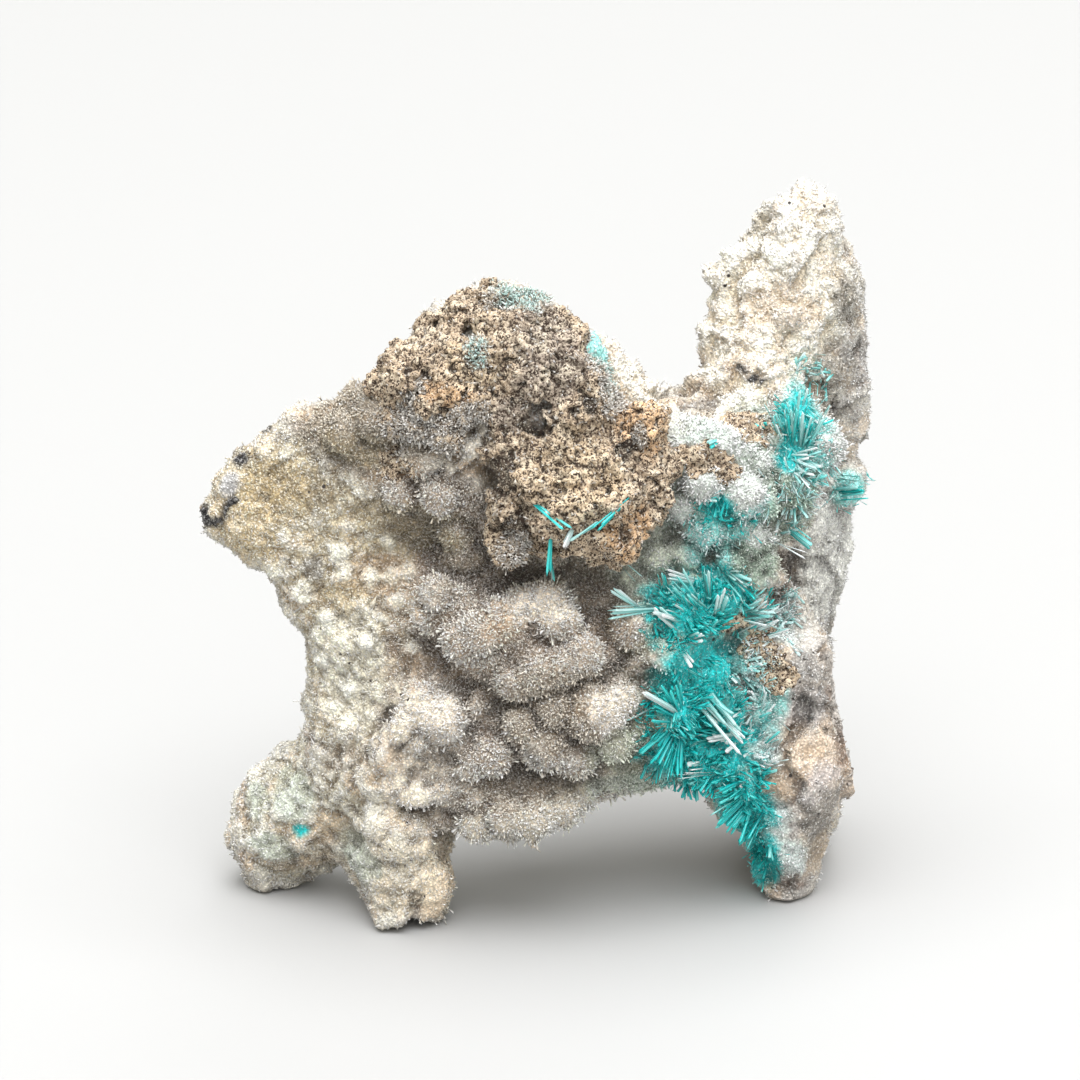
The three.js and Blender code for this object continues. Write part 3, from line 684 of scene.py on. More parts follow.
# Where the sprays root, as x, z, radius and how pale their short blades are there.
SPRAY_DISCS = {
    "teal_spray_middle": [
        (10.8, 27.2, 2.2, 0), (12.4, 27.6, 2.6, 0), (14.4, 28.4, 2.6, 0), (16.6, 27.4, 2.6, 0.1),
        (19.2, 26, 2.2, 0.6), (20.8, 25, 1.6, 0.8),
    ],
    "teal_spray_front": [
        (12.6, 21.4, 2.8, 0), (10.6, 19.4, 2.4, 0), (14.6, 17.8, 3.6, 0), (10.8, 16, 2.4, 0),
        (13.6, 14.2, 2.8, 0), (16.4, 12, 2.4, 0), (17.6, 8.6, 1.9, 0), (18.9, 5, 1.3, 0),
        (17.2, 21.6, 2, 0.6), (18.2, 18, 1.6, 0.75), (18.5, 14.4, 1.2, 0.85), (17.8, 24.2, 1.3, 0.8),
    ],
    "teal_spray_shoulder": [
        (20.7, 42, 2.2, 0.2), (22.6, 39.6, 2.2, 0.4), (20.4, 37.2, 2.2, 0.6), (20.6, 33.6, 1.6, 0.6),
        (22.8, 44.4, 1.9, 0.5),
    ],
    "teal_spray_knoll": [(14, 36.3, 1.9, 0.1), (16, 34.9, 1.7, 0.2)],
    "teal_spray_hollow": [(26, 32.2, 2.4, 0.3)],
    "teal_needles_left": [(0.9, 33.6, 1.9, 0.3)],
    "teal_needles_right": [(5.4, 32.6, 1.9, 0.3)],
}
# A bed is a ball this much wider than its disc, this share of the disc's radius behind the surface.
BED_SIZE = 1.15
BED_FILL = 0.75

# Small bulges that the solids leave out: place, reach and how far they stand out, mm.
BULGES = [
    ((-23, 0, 30.5), 4.5, (-0.5, 0, -0.9)), ((22.5, 12, 59), 4.5, (0, 0, 1)),
    ((-27, 0, 12.5), 3.5, (-0.8, 0, 0.3)), ((-12.5, -6, 50), 4, (-0.4, 0, 0.4)),
    ((-24, 1, 41), 3.5, (-0.2, 0, 0.5)), ((5.5, -4, 51.5), 3.5, (0.4, 0, 0.4)),
    ((13.6, 6, 53.5), 2.5, (-0.6, 0, 0.2)), ((24.6, 6.6, 44.2), 2.8, (-1.9, 1, 0)),
    ((26.6, 14.2, 36.6), 3, (2.3, 0, 0)), ((17.6, -3, 2.5), 3.2, (1.1, 0, 0)),
    ((-4.7, -3, 56.5), 3.8, (0, 0, -1)),
]


def bulged(points):
    for place, reach, push in BULGES:
        near = np.exp(-(((points - place) / reach) ** 2).sum(axis=1))
        points = points + near[:, None] * push
    return points


# The right foot bulges at mid height and narrows below: z and how far its right side moves, mm.
FOOT_SIDE = [(0, -2), (3, -1.5), (7, -0.2), (12.5, 0.8), (16, 0), (20, -0.8), (25, -0.7), (29, 0)]


def foot_shaped(points):
    heights, moves = zip(*FOOT_SIDE)
    share = smooth_step(18.5, 24.5, points[:, 0]) * smooth_step(9.0, 4.0, points[:, 1])
    points[:, 0] += share * np.interp(points[:, 2], heights, moves)
    return points


def rock_form():
    """The CAD rock, rounded, with room left for crystals."""
    points, faces = arrays_of(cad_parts["druse_rock"].data)
    points, faces = remeshed(in_specimen(points), faces, FORM_VOXEL)
    points = bulged(foot_shaped(relaxed(points, faces, FORM_SMOOTHING)))
    return points - normals_of(points, faces) * CRYSTAL_ALLOWANCE, faces


# Random lumps: how many, their radii in mm, and how far they are sunk, as a share of the radius.
LUMPS = 700
LUMP_RADII = (0.5, 1.35)
LUMP_SUNK = 0.55
# Lumps stay this small on faces that look further down than that, and on the rim of the arch.
SMALL_LUMP = 0.4
HANGING = -0.5
ARCH_HALF, ARCH_RIM = 6.0, 11.0
# How far the relief's colours in a zone keep to its ground.
CALM = dict(horn=0.45, wing=0.2, knob=0.1)


def lumps_on(points, faces, tree):
    """Every cushion, nodule and spray bed as a ball sunk in the rock, and random lumps between them."""
    centres, radii = [], []
    for x, z, radius in CUSHIONS + NODULES:
        centres.append((x, front_of(tree, x, z), z))
        radii.append(radius)
    for discs in SPRAY_DISCS.values():
        for x, z, radius, _ in discs:
            centres.append((x, front_of(tree, x, z) + BED_FILL * radius, z))
            radii.append(radius * BED_SIZE)
    rng = np.random.default_rng(SEED)
    shares = zone_shares(points[faces].mean(axis=1))
    weights = areas(points, faces) * zone_value(shares, "cushion")
    places, picked = scattered(points, faces, weights, LUMPS, rng)
    outward = unit(face_normals(points, faces)[picked])
    extra = rng.uniform(*LUMP_RADII, len(places))
    on_arch = (np.abs(places[:, 0]) < ARCH_HALF) & (places[:, 2] < ARCH_RIM)
    extra[(outward[:, 2] < HANGING) | on_arch] = SMALL_LUMP
    centres = np.concatenate([centres, places - outward * (extra * LUMP_SUNK)[:, None]])
    return balls(centres, np.concatenate([radii, extra]), 3, 0.03, SEED)


def broken(points, size, seed):
    """Flat facets at random heights and tilts, from 0 to 1, about that size."""
    nearest, height = np.full(len(points), 99.0), np.zeros(len(points))
    for scaled, neighbour, jitter in cells_near(points, size, seed):
        offset = scaled - neighbour - jitter
        distance = (offset**2).sum(axis=1)
        tilt = jittered(neighbour, seed + 5) - 0.5
        level = hashed(neighbour, seed + 9) + (offset * tilt).sum(axis=1) * 1.2
        closer = distance < nearest
        nearest, height = np.where(closer, distance, nearest), np.where(closer, level, height)
    return height


def relief(points, shares):
    """Grains, small cushions, broken facets and ledges, in mm along the normal."""
    uneven = 0.35 + 1.1 * smooth_step(0.3, 0.7, fractal(points, 4.0, 2, 17))
    grain = (0.55 - cell_distance(points, 0.75, 11)) * 0.42 * uneven * zone_value(shares, "grain")
    cushion = (0.5 - cell_distance(points, 1.5, 21)) * 0.5 * zone_value(shares, "cushion")
    chip = (broken(points, 1.5, 31) - 0.5) * 0.25 + (broken(points, 4.2, 32) - 0.5) * 1.2
    chip *= zone_value(shares, "chip")
    lump = (fractal(points, 3.2, 3, 51) - 0.5) * 2.4 * zone_value(shares, "lump")
    layers = points @ np.array([[0.12, 0, 0], [0, 0.12, 0], [0.1, 0, 1]])
    ledge = (value_noise(layers, 0.8, 35) - 0.5) * 0.7 * zone_value(shares, "ledge")
    rough = (fractal(points, 1.1, 3, 41) - 0.5) * 0.45 * zone_value(shares, "rough")
    sponge = (0.55 - cell_distance(points, 0.5, 12)) * 0.5 + (fractal(points, 0.9, 2, 13) - 0.5) * 0.9
    patch = within(points, "patches")
    return (grain + cushion + chip + lump + ledge + rough) * (1 - patch) + sponge * patch


# How many relaxings tell the small hollows from the crests, and the large ones.
FINE, BROAD = 12, 150


def cavities(points, faces, times):
    """How far each point lies below its surroundings, in mm."""
    smooth = relaxed(points, faces, times)
    return ((smooth - points) * normals_of(smooth, faces)).sum(axis=1)


def rock_colours(points, faces, shares, broad):
    """Paler on the bumps and darker and browner down in the hollows, partly the rock's own colour and partly
    painted highlight and painted shade, more painted shade in the large hollows, with tints, spots and
    stains.
    """
    ground = zone_value(shares, "ground")
    fine = cavities(points, faces, FINE)
    patchy = fractal(points, 0.8, 3, 61) - 0.5
    bump = smooth_step(0.0, 0.14, patchy * 0.25 - fine)
    # high pales the bumps and low darkens the hollows: partly the rock's own colour, partly painted highlight
    # and painted shade.
    high = np.maximum(bump, 0.8 * smooth_step(0.1, 0.6, patchy * 0.6 - broad))
    low = np.maximum(smooth_step(0.0, 0.16, patchy * 0.2 + fine), smooth_step(0.15, 0.9, broad))
    colours = laid_over(ground, 0.85 * high, zone_value(shares, "crest"))
    colours = laid_over(colours, 0.75 * low, zone_value(shares, "deep"))
    # Painted shade: darker down in the large hollows.
    colours *= (1 - 0.4 * smooth_step(0.3, 1.3, broad))[:, None]
    colours *= (1 + 0.6 * (fractal(points, 3.4, 3, 62) - 0.5))[:, None]
    colours = laid_over(colours, zone_mix(shares, CALM), ground)
    # shade carries the painted highlight and shade on into the tints and spots; the teal keeps only half of
    # it.
    shade = np.clip(brightness(colours) / brightness(ground), 0.3, 1.4)
    shade += 0.5 * within(points, "teal") * (1 - shade)
    colours = tinted(mottled(colours, points, shares, shade), points, "ground", shade)
    colours = laid_over(colours, within(points, "patches"), PATCH_BROWN)
    return laid_over(colours, within(points, "stains"), BLACK)


def build_rock_skin():
    """The rock's own skin, as something that crystals grow on."""
    form = rock_form()
    tree = tree_of(*form)
    points, faces = remeshed(*joined([form, lumps_on(*form, tree)]), SKIN_VOXEL)
    points = relaxed(points, faces, SKIN_SMOOTHING)
    outward = normals_of(points, faces)
    shares = zone_shares(points)
    points = points + outward * relief(points, shares)[:, None]
    points[:, 2] = np.maximum(points[:, 2], FLOOR_GAP)
    bare = (1 - 0.9 * within(points, "patches")) * (1 - 0.97 * within(points, "teal"))
    broad = cavities(points, faces, BROAD)
    crystal = tinted(zone_value(shares, "crystal"), points, "crystal", np.ones(len(points)))
    return dict(
        points=points,
        faces=faces,
        outward=outward,
        length=zone_value(shares, "length"),
        crowd=zone_value(shares, "crowd") * bare + 1.8 * within(points, "pale_band"),
        grit=zone_value(shares, "grit") * bare,
        rise=smooth_step(0.7, -0.7, broad),
        colours=rock_colours(points, faces, shares, broad),
        crystal=laid_over(crystal, within(points, "stains"), BLACK),
    )


def both_skins(first, second):
    """Two skins in one."""
    together = {key: np.concatenate([first[key], second[key]]) for key in first if key != "faces"}
    together["faces"] = np.concatenate([first["faces"], second["faces"] + len(first["points"])])
    return together


# ---------- Crystals ----------

# Cross-sections, as shares of width and depth.
LATH = np.array([(1, 1), (-1, 1), (-1, -1), (1, -1)]) / 2
WEDGE = np.array([(1, -0.6), (0, 1.2), (-1, -0.6)]) / 2
SPIKE_RINGS = [(0.0, 1, 1)]
BLADE = np.array([(1, 0), (0.62, 1), (-0.62, 1), (-1, 0), (-0.62, -1), (0.62, -1)]) / 2


def crystal_faces(sides, ring_count, foot):
    """One crystal's triangles: its foot, the bands between its rings, and its tip."""
    faces = [] if foot else [(0, corner + 1, corner) for corner in range(1, sides - 1)]
    last = foot + (ring_count - 1) * sides
    for side in range(sides):
        after = (side + 1) % sides
        if foot:
            faces.append((0, 1 + after, 1 + side))
        for low in range(foot, last, sides):
            high = low + sides
            faces.append((low + side, low + after, high + after))
            faces.append((low + side, high + after, high + side))
        faces.append((last + side, last + after, last + sides))
    return np.array(faces)


def crystals(roots, axes, lengths, widths, depths, section, rings, rng, chisel, flats=None):
    """Closed crystals as one mesh. rings are (share of the length, share of the width, share of the depth);
    a first ring at 0 is a flat foot, and otherwise the foot is a point.

    flats are the ways that the wide faces look, and chisel how far tips may lie to the side, as a share of
    the width. Gives points, faces, and for each point how far up its crystal it is, how far across, and
    which crystal it is on.
    """
    count, sides = len(roots), len(section)
    axes = unit(axes)
    if flats is None:
        flats = rng.normal(size=(count, 3))
    across = unit(np.cross(axes, unit(flats)))
    through = np.cross(axes, across)
    foot = 0 if rings[0][0] == 0 else 1
    per = foot + sides * len(rings) + 1
    points = np.empty((count, per, 3))
    height, aside = np.zeros(per), np.zeros(per)
    points[:, 0] = roots
    for index, (share, wide, deep) in enumerate(rings):
        first = foot + index * sides
        middle = roots + axes * (lengths * share)[:, None]
        height[first : first + sides] = share
        aside[first : first + sides] = section[:, 0]
        for corner, (side_w, side_d) in enumerate(section):
            sideways = across * (widths * wide * side_w)[:, None]
            points[:, first + corner] = middle + sideways + through * (depths * deep * side_d)[:, None]
    lean = across * (widths * chisel * rng.uniform(-1, 1, count))[:, None]
    points[:, -1] = roots + axes * lengths[:, None] + lean
    height[-1] = 1
    faces = crystal_faces(sides, len(rings), foot)
    shells = faces[None] + (np.arange(count) * per)[:, None, None]
    which = np.repeat(np.arange(count), per)
    return points.reshape(-1, 3), shells.reshape(-1, 3), np.tile(height, count), np.tile(aside, count), which


def grow(skin, key, count, rng):
    """Places for that many crystals on the skin, as thick as skin[key] says: the skin's values there."""
    points, faces = skin["points"], skin["faces"]
    centres = points[faces].mean(axis=1)
    facing = skin["outward"][faces].mean(axis=1)
    seen = 0.5 + 0.5 * smooth_step(0.35, -0.35, facing[:, 1])
    weights = areas(points, faces) * skin[key][faces].mean(axis=1) * seen
    weights *= smooth_step(0.1, 0.9, centres[:, 2])
    places, picked = scattered(points, faces, weights, count, rng)
    corners = faces[picked]
    at = {name: skin[name][corners].mean(axis=1) for name in skin if name not in ("points", "faces")}
    at["places"] = places
    at["outward"] = unit(at["outward"])
    return at


# ---------- Materials ----------


class Graph:
    """A material's nodes, made and linked one at a time."""

    def __init__(self, name):
        self.material = bpy.data.materials.new(name)
        self.material.use_nodes = True
        self.nodes = self.material.node_tree.nodes
        self.links = self.material.node_tree.links
        self.shader = self.nodes["Principled BSDF"]
        self.shader.inputs["IOR"].default_value = IOR

    def node(self, kind, inputs=None, **settings):
        made = self.nodes.new(kind)
        for key, value in settings.items():
            setattr(made, key, value)
        for key, value in (inputs or {}).items():
            if isinstance(value, bpy.types.NodeSocket):
                self.links.new(value, made.inputs[key])
            else:
                made.inputs[key].default_value = value
        return made

    def noise(self, size, detail=2.0, rough=0.5):
        """Noise with features of about that size in mm, on the object's own coordinates."""
        place = self.node("ShaderNodeTexCoord").outputs["Object"]
        inputs = {"Vector": place, "Scale": 1 / (size * MM), "Detail": detail, "Roughness": rough}
        return self.node("ShaderNodeTexNoise", inputs).outputs["Fac"]

    def cells(self, size):
        """How far it is to the nearest middle of cells of about that size in mm."""
        inputs = {"Vector": self.node("ShaderNodeTexCoord").outputs["Object"], "Scale": 1 / (size * MM)}
        return self.node("ShaderNodeTexVoronoi", inputs).outputs["Distance"]

    def curve(self, value, low, high, to_low=0.0, to_high=1.0):
        inputs = {"Value": value, "From Min": low, "From Max": high, "To Min": to_low, "To Max": to_high}
        return self.node("ShaderNodeMapRange", inputs).outputs["Result"]

    def math(self, operation, a, b):
        return self.node("ShaderNodeMath", {0: a, 1: b}, operation=operation).outputs[0]

    def times(self, a, b):
        return self.math("MULTIPLY", a, b)

    def mix(self, share, a, b, blend="MIX"):
        made = self.nodes.new("ShaderNodeMix")
        made.data_type = "RGBA"
        made.blend_type = blend
        for key, value in ((0, share), (6, a), (7, b)):
            if isinstance(value, bpy.types.NodeSocket):
                self.links.new(value, made.inputs[key])
            elif key == 0:
                made.inputs[0].default_value = value
            else:
                made.inputs[key].default_value = (*value[:3], 1)
        return made.outputs[2]

    def attribute(self, name, output):
        return self.node("ShaderNodeAttribute", attribute_name=name).outputs[output]

    def set(self, **values):
        for key, value in values.items():
            socket = self.shader.inputs[key.replace("_", " ")]
            if isinstance(value, bpy.types.NodeSocket):
                self.links.new(value, socket)
            else:
                socket.default_value = value

    def bump(self, height, distance):
        made = self.node("ShaderNodeBump", {"Height": height, "Distance": distance * MM, "Strength": 1.0})
        self.links.new(made.outputs["Normal"], self.shader.inputs["Normal"])


def rock_material():
    graph = Graph("druse_ground")
    tint = graph.attribute("tint", "Color")
    grains = graph.cells(0.26)
    fine = graph.noise(0.17, 3, 0.6)
    grainy = graph.curve(grains, 0.12, 0.6, 1.15, 0.62)
    shade = graph.times(grainy, graph.curve(fine, 0.35, 0.65, 0.8, 1.16))
    shaded = graph.mix(1.0, tint, shade, "MULTIPLY")
    # Painted glints: small paler specks standing for light off crystal faces.
    glints = graph.curve(graph.noise(0.2, 1), 0.6, 0.68, 0, 0.6)
    pale = graph.mix(glints, shaded, graph.mix(0.6, tint, srgb(246, 243, 234)))
    specks = graph.times(graph.curve(graph.cells(1.3), 0.16, 0.1), graph.curve(graph.noise(6), 0.5, 0.56))
    pits = graph.times(graph.curve(graph.cells(0.75), 0.2, 0.1), graph.curve(graph.noise(2.4), 0.5, 0.6))
    pitted = graph.mix(graph.times(pits, 0.45), pale, srgb(112, 90, 60))
    colour = graph.mix(specks, pitted, srgb(38, 30, 25))
    graph.set(Base_Color=colour, Roughness=graph.curve(fine, 0.3, 0.7, 0.35, 0.75))
    graph.bump(graph.math("SUBTRACT", fine, graph.times(grains, 0.8)), 0.1)
    return graph.material


def druse_material():
    graph = Graph("druse_crystal")
    tint = graph.attribute("tint", "Color")
    colour = graph.mix(graph.curve(graph.noise(0.3, 2), 0.4, 0.65, 0, 0.3), tint, srgb(252, 250, 246))
    graph.set(Base_Color=colour, Roughness=graph.curve(graph.noise(0.4), 0.3, 0.7, 0.03, 0.14))
    graph.set(Transmission_Weight=0.25)
    return graph.material


def limonite_material():
    graph = Graph("limonite")
    tint = graph.attribute("tint", "Color")
    holes = graph.noise(0.34, 3, 0.7)
    fine = graph.noise(0.17, 2, 0.6)
    # Painted shade: the pits that the bump sinks made dark brown.
    pit_shade = graph.curve(graph.math("ADD", holes, graph.curve(fine, 0.3, 0.7, -0.08, 0.08)), 0.48, 0.42)
    tone = graph.curve(graph.noise(0.9, 3), 0.35, 0.65, 0.78, 1.16)
    toned = graph.mix(1.0, tint, tone, "MULTIPLY")
    # Painted highlight: paler on the raised bits.
    pale = graph.mix(graph.curve(fine, 0.56, 0.66, 0, 0.5), toned, srgb(238, 226, 204))
    graph.set(Base_Color=graph.mix(pit_shade, pale, srgb(58, 43, 32)), Roughness=0.95)
    graph.bump(graph.math("ADD", holes, graph.times(fine, 0.5)), 0.15)
    return graph.material


def teal_material():
    graph = Graph("teal_hemimorphite")
    tint = graph.attribute("tint", "Color")
    lane = graph.attribute("lane", "Fac")
    stripes = {"W": lane, "Scale": 14.0, "Detail": 1.0}
    streak = graph.node("ShaderNodeTexNoise", stripes, noise_dimensions="1D").outputs["Fac"]
    colour = graph.mix(graph.curve(streak, 0.55, 0.75, 0, 0.2), tint, srgb(215, 248, 244))
    graph.set(Base_Color=colour, Roughness=graph.curve(streak, 0.3, 0.7, 0.2, 0.36))
    graph.set(Transmission_Weight=0.35, Specular_IOR_Level=0.25)
    graph.bump(streak, 0.03)
    return graph.material


# ---------- Pieces ----------


def add_piece(name, points, faces, colours, material, slot, smooth=False, replaces=(), lane=None):
    mesh = mesh_from(name, in_frame(points), faces)
    put_colours(mesh, colours)
    if lane is not None:
        layer = mesh.attributes.new(name="lane", type="FLOAT", domain="POINT")
        layer.data.foreach_set("value", np.ascontiguousarray(lane, dtype=np.float32))
    if smooth:
        mesh.polygons.foreach_set("use_smooth", np.ones(len(faces), dtype=bool))
    mesh.materials.append(material)
    obj = new_object(name, mesh)
    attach(obj, "root")
    if replaces:
        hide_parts(*replaces)


def add_rock(skin):
    thin = thinned(skin, ROCK_TRIANGLES)
    add_piece("druse_matrix", *thin, rock_material(), "druse", smooth=True, replaces=["druse_rock"])


# Crystals on the skins: by which growth value, how many, length (times the skin's for needles) and
# width in mm, depth as a share of it, spread of their directions, how much stands out, section and rings,
# how far the tip has the crystals' own colour, spread of its brightness, and the foot's share of the skin's
# colour, which darkens the feet as painted shade.
DRUSE = table(
    "by count length width depth lean out section rings own spread dim",
    druse_needles_a=("crowd", 47000, 0.66, 0.21, 0.85, 0.5, 0.7, WEDGE, SPIKE_RINGS, 0.8, 0.2, 0.65),
    druse_needles_b=("crowd", 28000, 0.95, 0.17, 0.5, 0.4, 0.8, WEDGE, [(0.9, 1, 1)], 0.85, 0.2, 0.65),
    druse_grains=("grit", 46500, 0.17, 0.32, 0.85, 1.8, 0.6, WEDGE, SPIKE_RINGS, 0.8, 0.3, 0.85),
)
LONGEST = 0.9  # mm out of the rock
CRYSTALS_GAP = 0.01  # between the crystals and the floor, mm
LYING_BLADES = 0.12  # the share of the loose grains that are longer and lie flat
# A glint is painted: a tip made nearly white that stands for light off a crystal face.
GLINTS = 0.06  # the share of the crystals that have a bright tip


def druse_colours(at, kind, rng):
    """The colours of each crystal's foot and tip: the foot darker as painted shade, the tip paler on crests
    and darker in hollows as painted highlight and shade, and a painted glint on a few tips.
    """
    own = np.clip(kind["own"] * (0.5 + at["rise"]), 0, 1)
    # Painted highlight and shade: tips paler on crests, darker in hollows.
    tip = laid_over(at["colours"], own, at["crystal"]) * (0.9 + 0.45 * at["rise"])[:, None]
    tip = tip * rng.uniform(1 - kind["spread"], 1 + kind["spread"], (len(tip), 1))
    # Painted glints on a few tips.
    glint = rng.uniform(size=(len(tip), 1)) < GLINTS
    return at["colours"] * kind["dim"], np.where(glint, np.clip(tip * 1.4 + 0.2, 0, 0.96), tip)


def add_druse(skin):
    material = druse_material()
    rng = np.random.default_rng(SEED + 1)
    for name, kind in DRUSE.items():
        count = kind["count"]
        at = grow(skin, kind["by"], count, rng)
        axes = unit(at["outward"] + rng.normal(size=(count, 3)) * kind["lean"])
        axes *= np.where((axes * at["outward"]).sum(axis=1) < 0, -1, 1)[:, None]
        lengths = kind["length"] * np.exp(rng.normal(size=count) * 0.45)
        if kind["by"] == "crowd":
            lengths *= at["length"] * (0.85 + 0.25 * at["rise"])
        widths = kind["width"] * np.exp(rng.normal(size=count) * 0.25)
        if kind["by"] == "grit":
            lying = rng.uniform(size=count) < LYING_BLADES
            across = np.cross(at["outward"], rng.normal(size=(count, 3)))
            axes = np.where(lying[:, None], unit(unit(across) + 0.25 * at["outward"]), axes)
            lengths = np.where(lying, lengths * 2, lengths)
            widths = np.where(lying, widths * 0.6, widths)
        lengths = np.minimum(lengths, LONGEST)
        roots = at["places"] - axes * (lengths * (1 - kind["out"]) / kind["out"])[:, None]
        whole = lengths / kind["out"]
        depths = widths * kind["depth"]
        made, shells, height, _, which = crystals(
            roots, axes, whole, widths, depths, kind["section"], kind["rings"], rng, 0.3
        )
        foot, tip = druse_colours(at, kind, rng)
        colours = laid_over(foot[which], height, tip[which])
        made[:, 2] = np.maximum(made[:, 2], CRYSTALS_GAP)
        add_piece(name, made, shells, colours, material, "druse")


# ---------- The limonite cap ----------

LIMONITE_VOXEL = 0.12
LIMONITE_TRIANGLES = 185000
# Limonite that the cap's solid leaves out: hanging bits at its edge, as x, y, z and radius.
LIMONITE_LUMPS = [
    (-3.2, -9.4, 43.4, 1.9), (-2, -10.4, 41.4, 1.8), (-2.8, -10.4, 39.2, 1.4), (-2.4, -10.6, 37.6, 1),
    (-1.8, -10.2, 36.2, 0.7), (6.4, -10.8, 36, 1.5), (6.8, -10.2, 34.6, 1.1), (-9.6, -7.2, 44.6, 1.2),
    (-2.8, -7.6, 48.9, 1.5),
]
# The cap's paler front, partly painted light on the ball that stands out, its druse and the teal part of
# that, as x, y, z and three radii.
CAP_BRIGHT = [(2.6, -11.5, 41.6, 4, 5, 3.4), (-5.6, -8, 50, 2.6, 4, 1.8)]
CAP_DRUSE = [
    (-8.2, -7.4, 44, 4.2, 3, 3), (-5.6, -8.5, 46.2, 1.9, 3, 1.6), (5, -6.5, 46.6, 2.4, 3, 1.3),
    (5.6, -5, 49, 2.2, 5, 3.4), (-1.4, -4, 54.6, 2.8, 3, 1.4), (-4.9, -8.6, 51, 1.1, 2.4, 1.3),
    (8.2, -7.5, 44, 0.9, 2, 1), (-2, -10.5, 35, 1.6, 2, 1.4), (-9.4, -7, 47.2, 1.6, 2.4, 1.6),
]
CAP_TEAL = [(-1.4, -4, 54.6, 2.8, 3, 1.4), (5.6, -4.6, 49.8, 1.7, 4, 2.9), (-4.9, -8.6, 51, 1, 2.4, 1.1)]
# Hollows in the cap, sunk and darkened with painted shade, its greyer middle, and its more orange sides.
CAP_HOLLOWS = [
    (-3, -9.5, 41.2, 1.9, 3, 2.2), (-0.3, -9, 45.2, 1.5, 3, 0.8), (-2.2, -10.5, 37.2, 1.3, 2, 1.2),
    (6.9, -9, 43.2, 1.1, 3, 0.9), (3.4, -8, 46.6, 2.2, 3, 0.8), (6.9, -10.8, 36.6, 0.7, 2, 0.9),
    (-4.6, -8.6, 44.4, 1.2, 3, 0.9),
]
CAP_GREY = [(0.6, -8, 50.2, 2.9, 5, 4.2), (-1.4, -10, 46.4, 2.4, 4, 1.4)]
CAP_ORANGE = [(8.4, -8, 45.4, 2.2, 5, 3), (6.8, -11, 37, 2, 3, 2.8), (-7, -8, 47.8, 3.4, 4, 1.1)]

AREAS.update(
    cap_grey=(CAP_GREY, 2.0, 90),
    cap_orange=(CAP_ORANGE, 2.0, 91),
    cap_druse=(CAP_DRUSE, 1.2, 93),
    cap_teal=(CAP_TEAL, 1.2, 94),
    cap_hollows=(CAP_HOLLOWS, 1.0, 96),
    cap_bright=(CAP_BRIGHT, 2.0, 97),
)
# Colours of the cap's areas, and how strong each is.
CAP_TINTS = [
    ("cap_grey", 0.8, srgb(150, 138, 126)),
    ("cap_orange", 0.65, srgb(208, 166, 120)),
    # Partly painted light: the front of the cap's ball made paler.
    ("cap_bright", 0.7, srgb(196, 174, 142)),
]
LIMONITE_BROWN = srgb(172, 152, 127)
LIMONITE_SPECKS = srgb(238, 224, 198)
# Painted shade in the pores.
LIMONITE_PORE_SHADE = srgb(62, 46, 34)
UNDER_DRUSE = srgb(156, 145, 130)
CAP_CRYSTAL = srgb(232, 228, 220)
CAP_TEAL_CRYSTAL = srgb(186, 228, 222)
# The cap is rounded and shrunk, then broken up in lumps and set with crumbs. Radii in mm.
CAP_VOXEL = 0.45
CAP_SMOOTHING = 5
CAP_SHRINKING = 0.7
CAP_LUMPS, CAP_LUMP_RADII = 170, (0.6, 1.4)
LUMPY_VOXEL = 0.35
CAP_CRUMBS, CRUMB_RADII = 7500, (0.14, 0.36)
PATCH_CRUMBS, PATCH_CRUMB_RADII = 1300, (0.14, 0.34)
HOLLOW_DEPTH = 0.45


def limonite_form():
    """The CAD cap, rounded."""
    points, faces = arrays_of(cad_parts["limonite_cap"].data)
    points, faces = remeshed(in_specimen(points), faces, CAP_VOXEL)
    return bulged(relaxed(points, faces, CAP_SMOOTHING)), faces


def set_with_crumbs(form, count, sizes, sunk, rng):
    """Rough balls of those sizes all over a form, each sunk by a share of its radius between those two."""
    points, faces = form
    places, picked = scattered(points, faces, areas(points, faces), count, rng)
    outward = unit(face_normals(points, faces)[picked])
    radii = rng.uniform(*sizes, count)
    return balls(places - outward * (radii * rng.uniform(*sunk, count))[:, None], radii, 2, 0.2, SEED)


def limonite_colours(points, faces, druse):
    """Brown with tinted areas and pale specks, painted shade in the pores and hollows, and grey under the
    druse.
    """
    colours = np.repeat(LIMONITE_BROWN[None], len(points), axis=0)
    for area, share, colour in CAP_TINTS:
        colours = laid_over(colours, share * within(points, area), colour)
    pale = smooth_step(0.52, 0.66, fractal(points, 0.6, 2, 92))
    colours = laid_over(colours, 0.45 * pale, LIMONITE_SPECKS)
    colours *= (1 + 0.7 * (fractal(points, 1.8, 2, 95) - 0.5))[:, None]
    # Painted shade in the small pores, and below it in the larger hollows and the marked ones.
    pores = smooth_step(0.01, 0.11, cavities(points, faces, 10))
    colours = laid_over(colours, 0.85 * pores, LIMONITE_PORE_SHADE)
    colours *= (1 - 0.75 * smooth_step(0.05, 0.5, cavities(points, faces, 110)))[:, None]
    colours *= (1 - 0.72 * within(points, "cap_hollows"))[:, None]
    return laid_over(colours, 0.8 * druse, UNDER_DRUSE)


def lumpy_cap(rng):
    """The cap's form broken up in lumps."""
    points, faces = limonite_form()
    lumps = set_with_crumbs((points, faces), CAP_LUMPS, CAP_LUMP_RADII, (0.05, 0.6), rng)
    places, radii = [lump[:3] for lump in LIMONITE_LUMPS], [lump[3] for lump in LIMONITE_LUMPS]
    extra = balls(places, radii, 3, 0.08, SEED)
    points = points - normals_of(points, faces) * CAP_SHRINKING
    return remeshed(*joined([(points, faces), lumps, extra]), LUMPY_VOXEL)


def patch_crumbs(rock, rng):
    """Crumbs on the limonite patches of the rock."""
    points, faces = rock["points"], rock["faces"]
    weights = within(points[faces].mean(axis=1), "patches") * areas(points, faces)
    places, _ = scattered(points, faces, weights, PATCH_CRUMBS, rng)
    return balls(places, rng.uniform(*PATCH_CRUMB_RADII, len(places)), 2, 0.2, SEED)


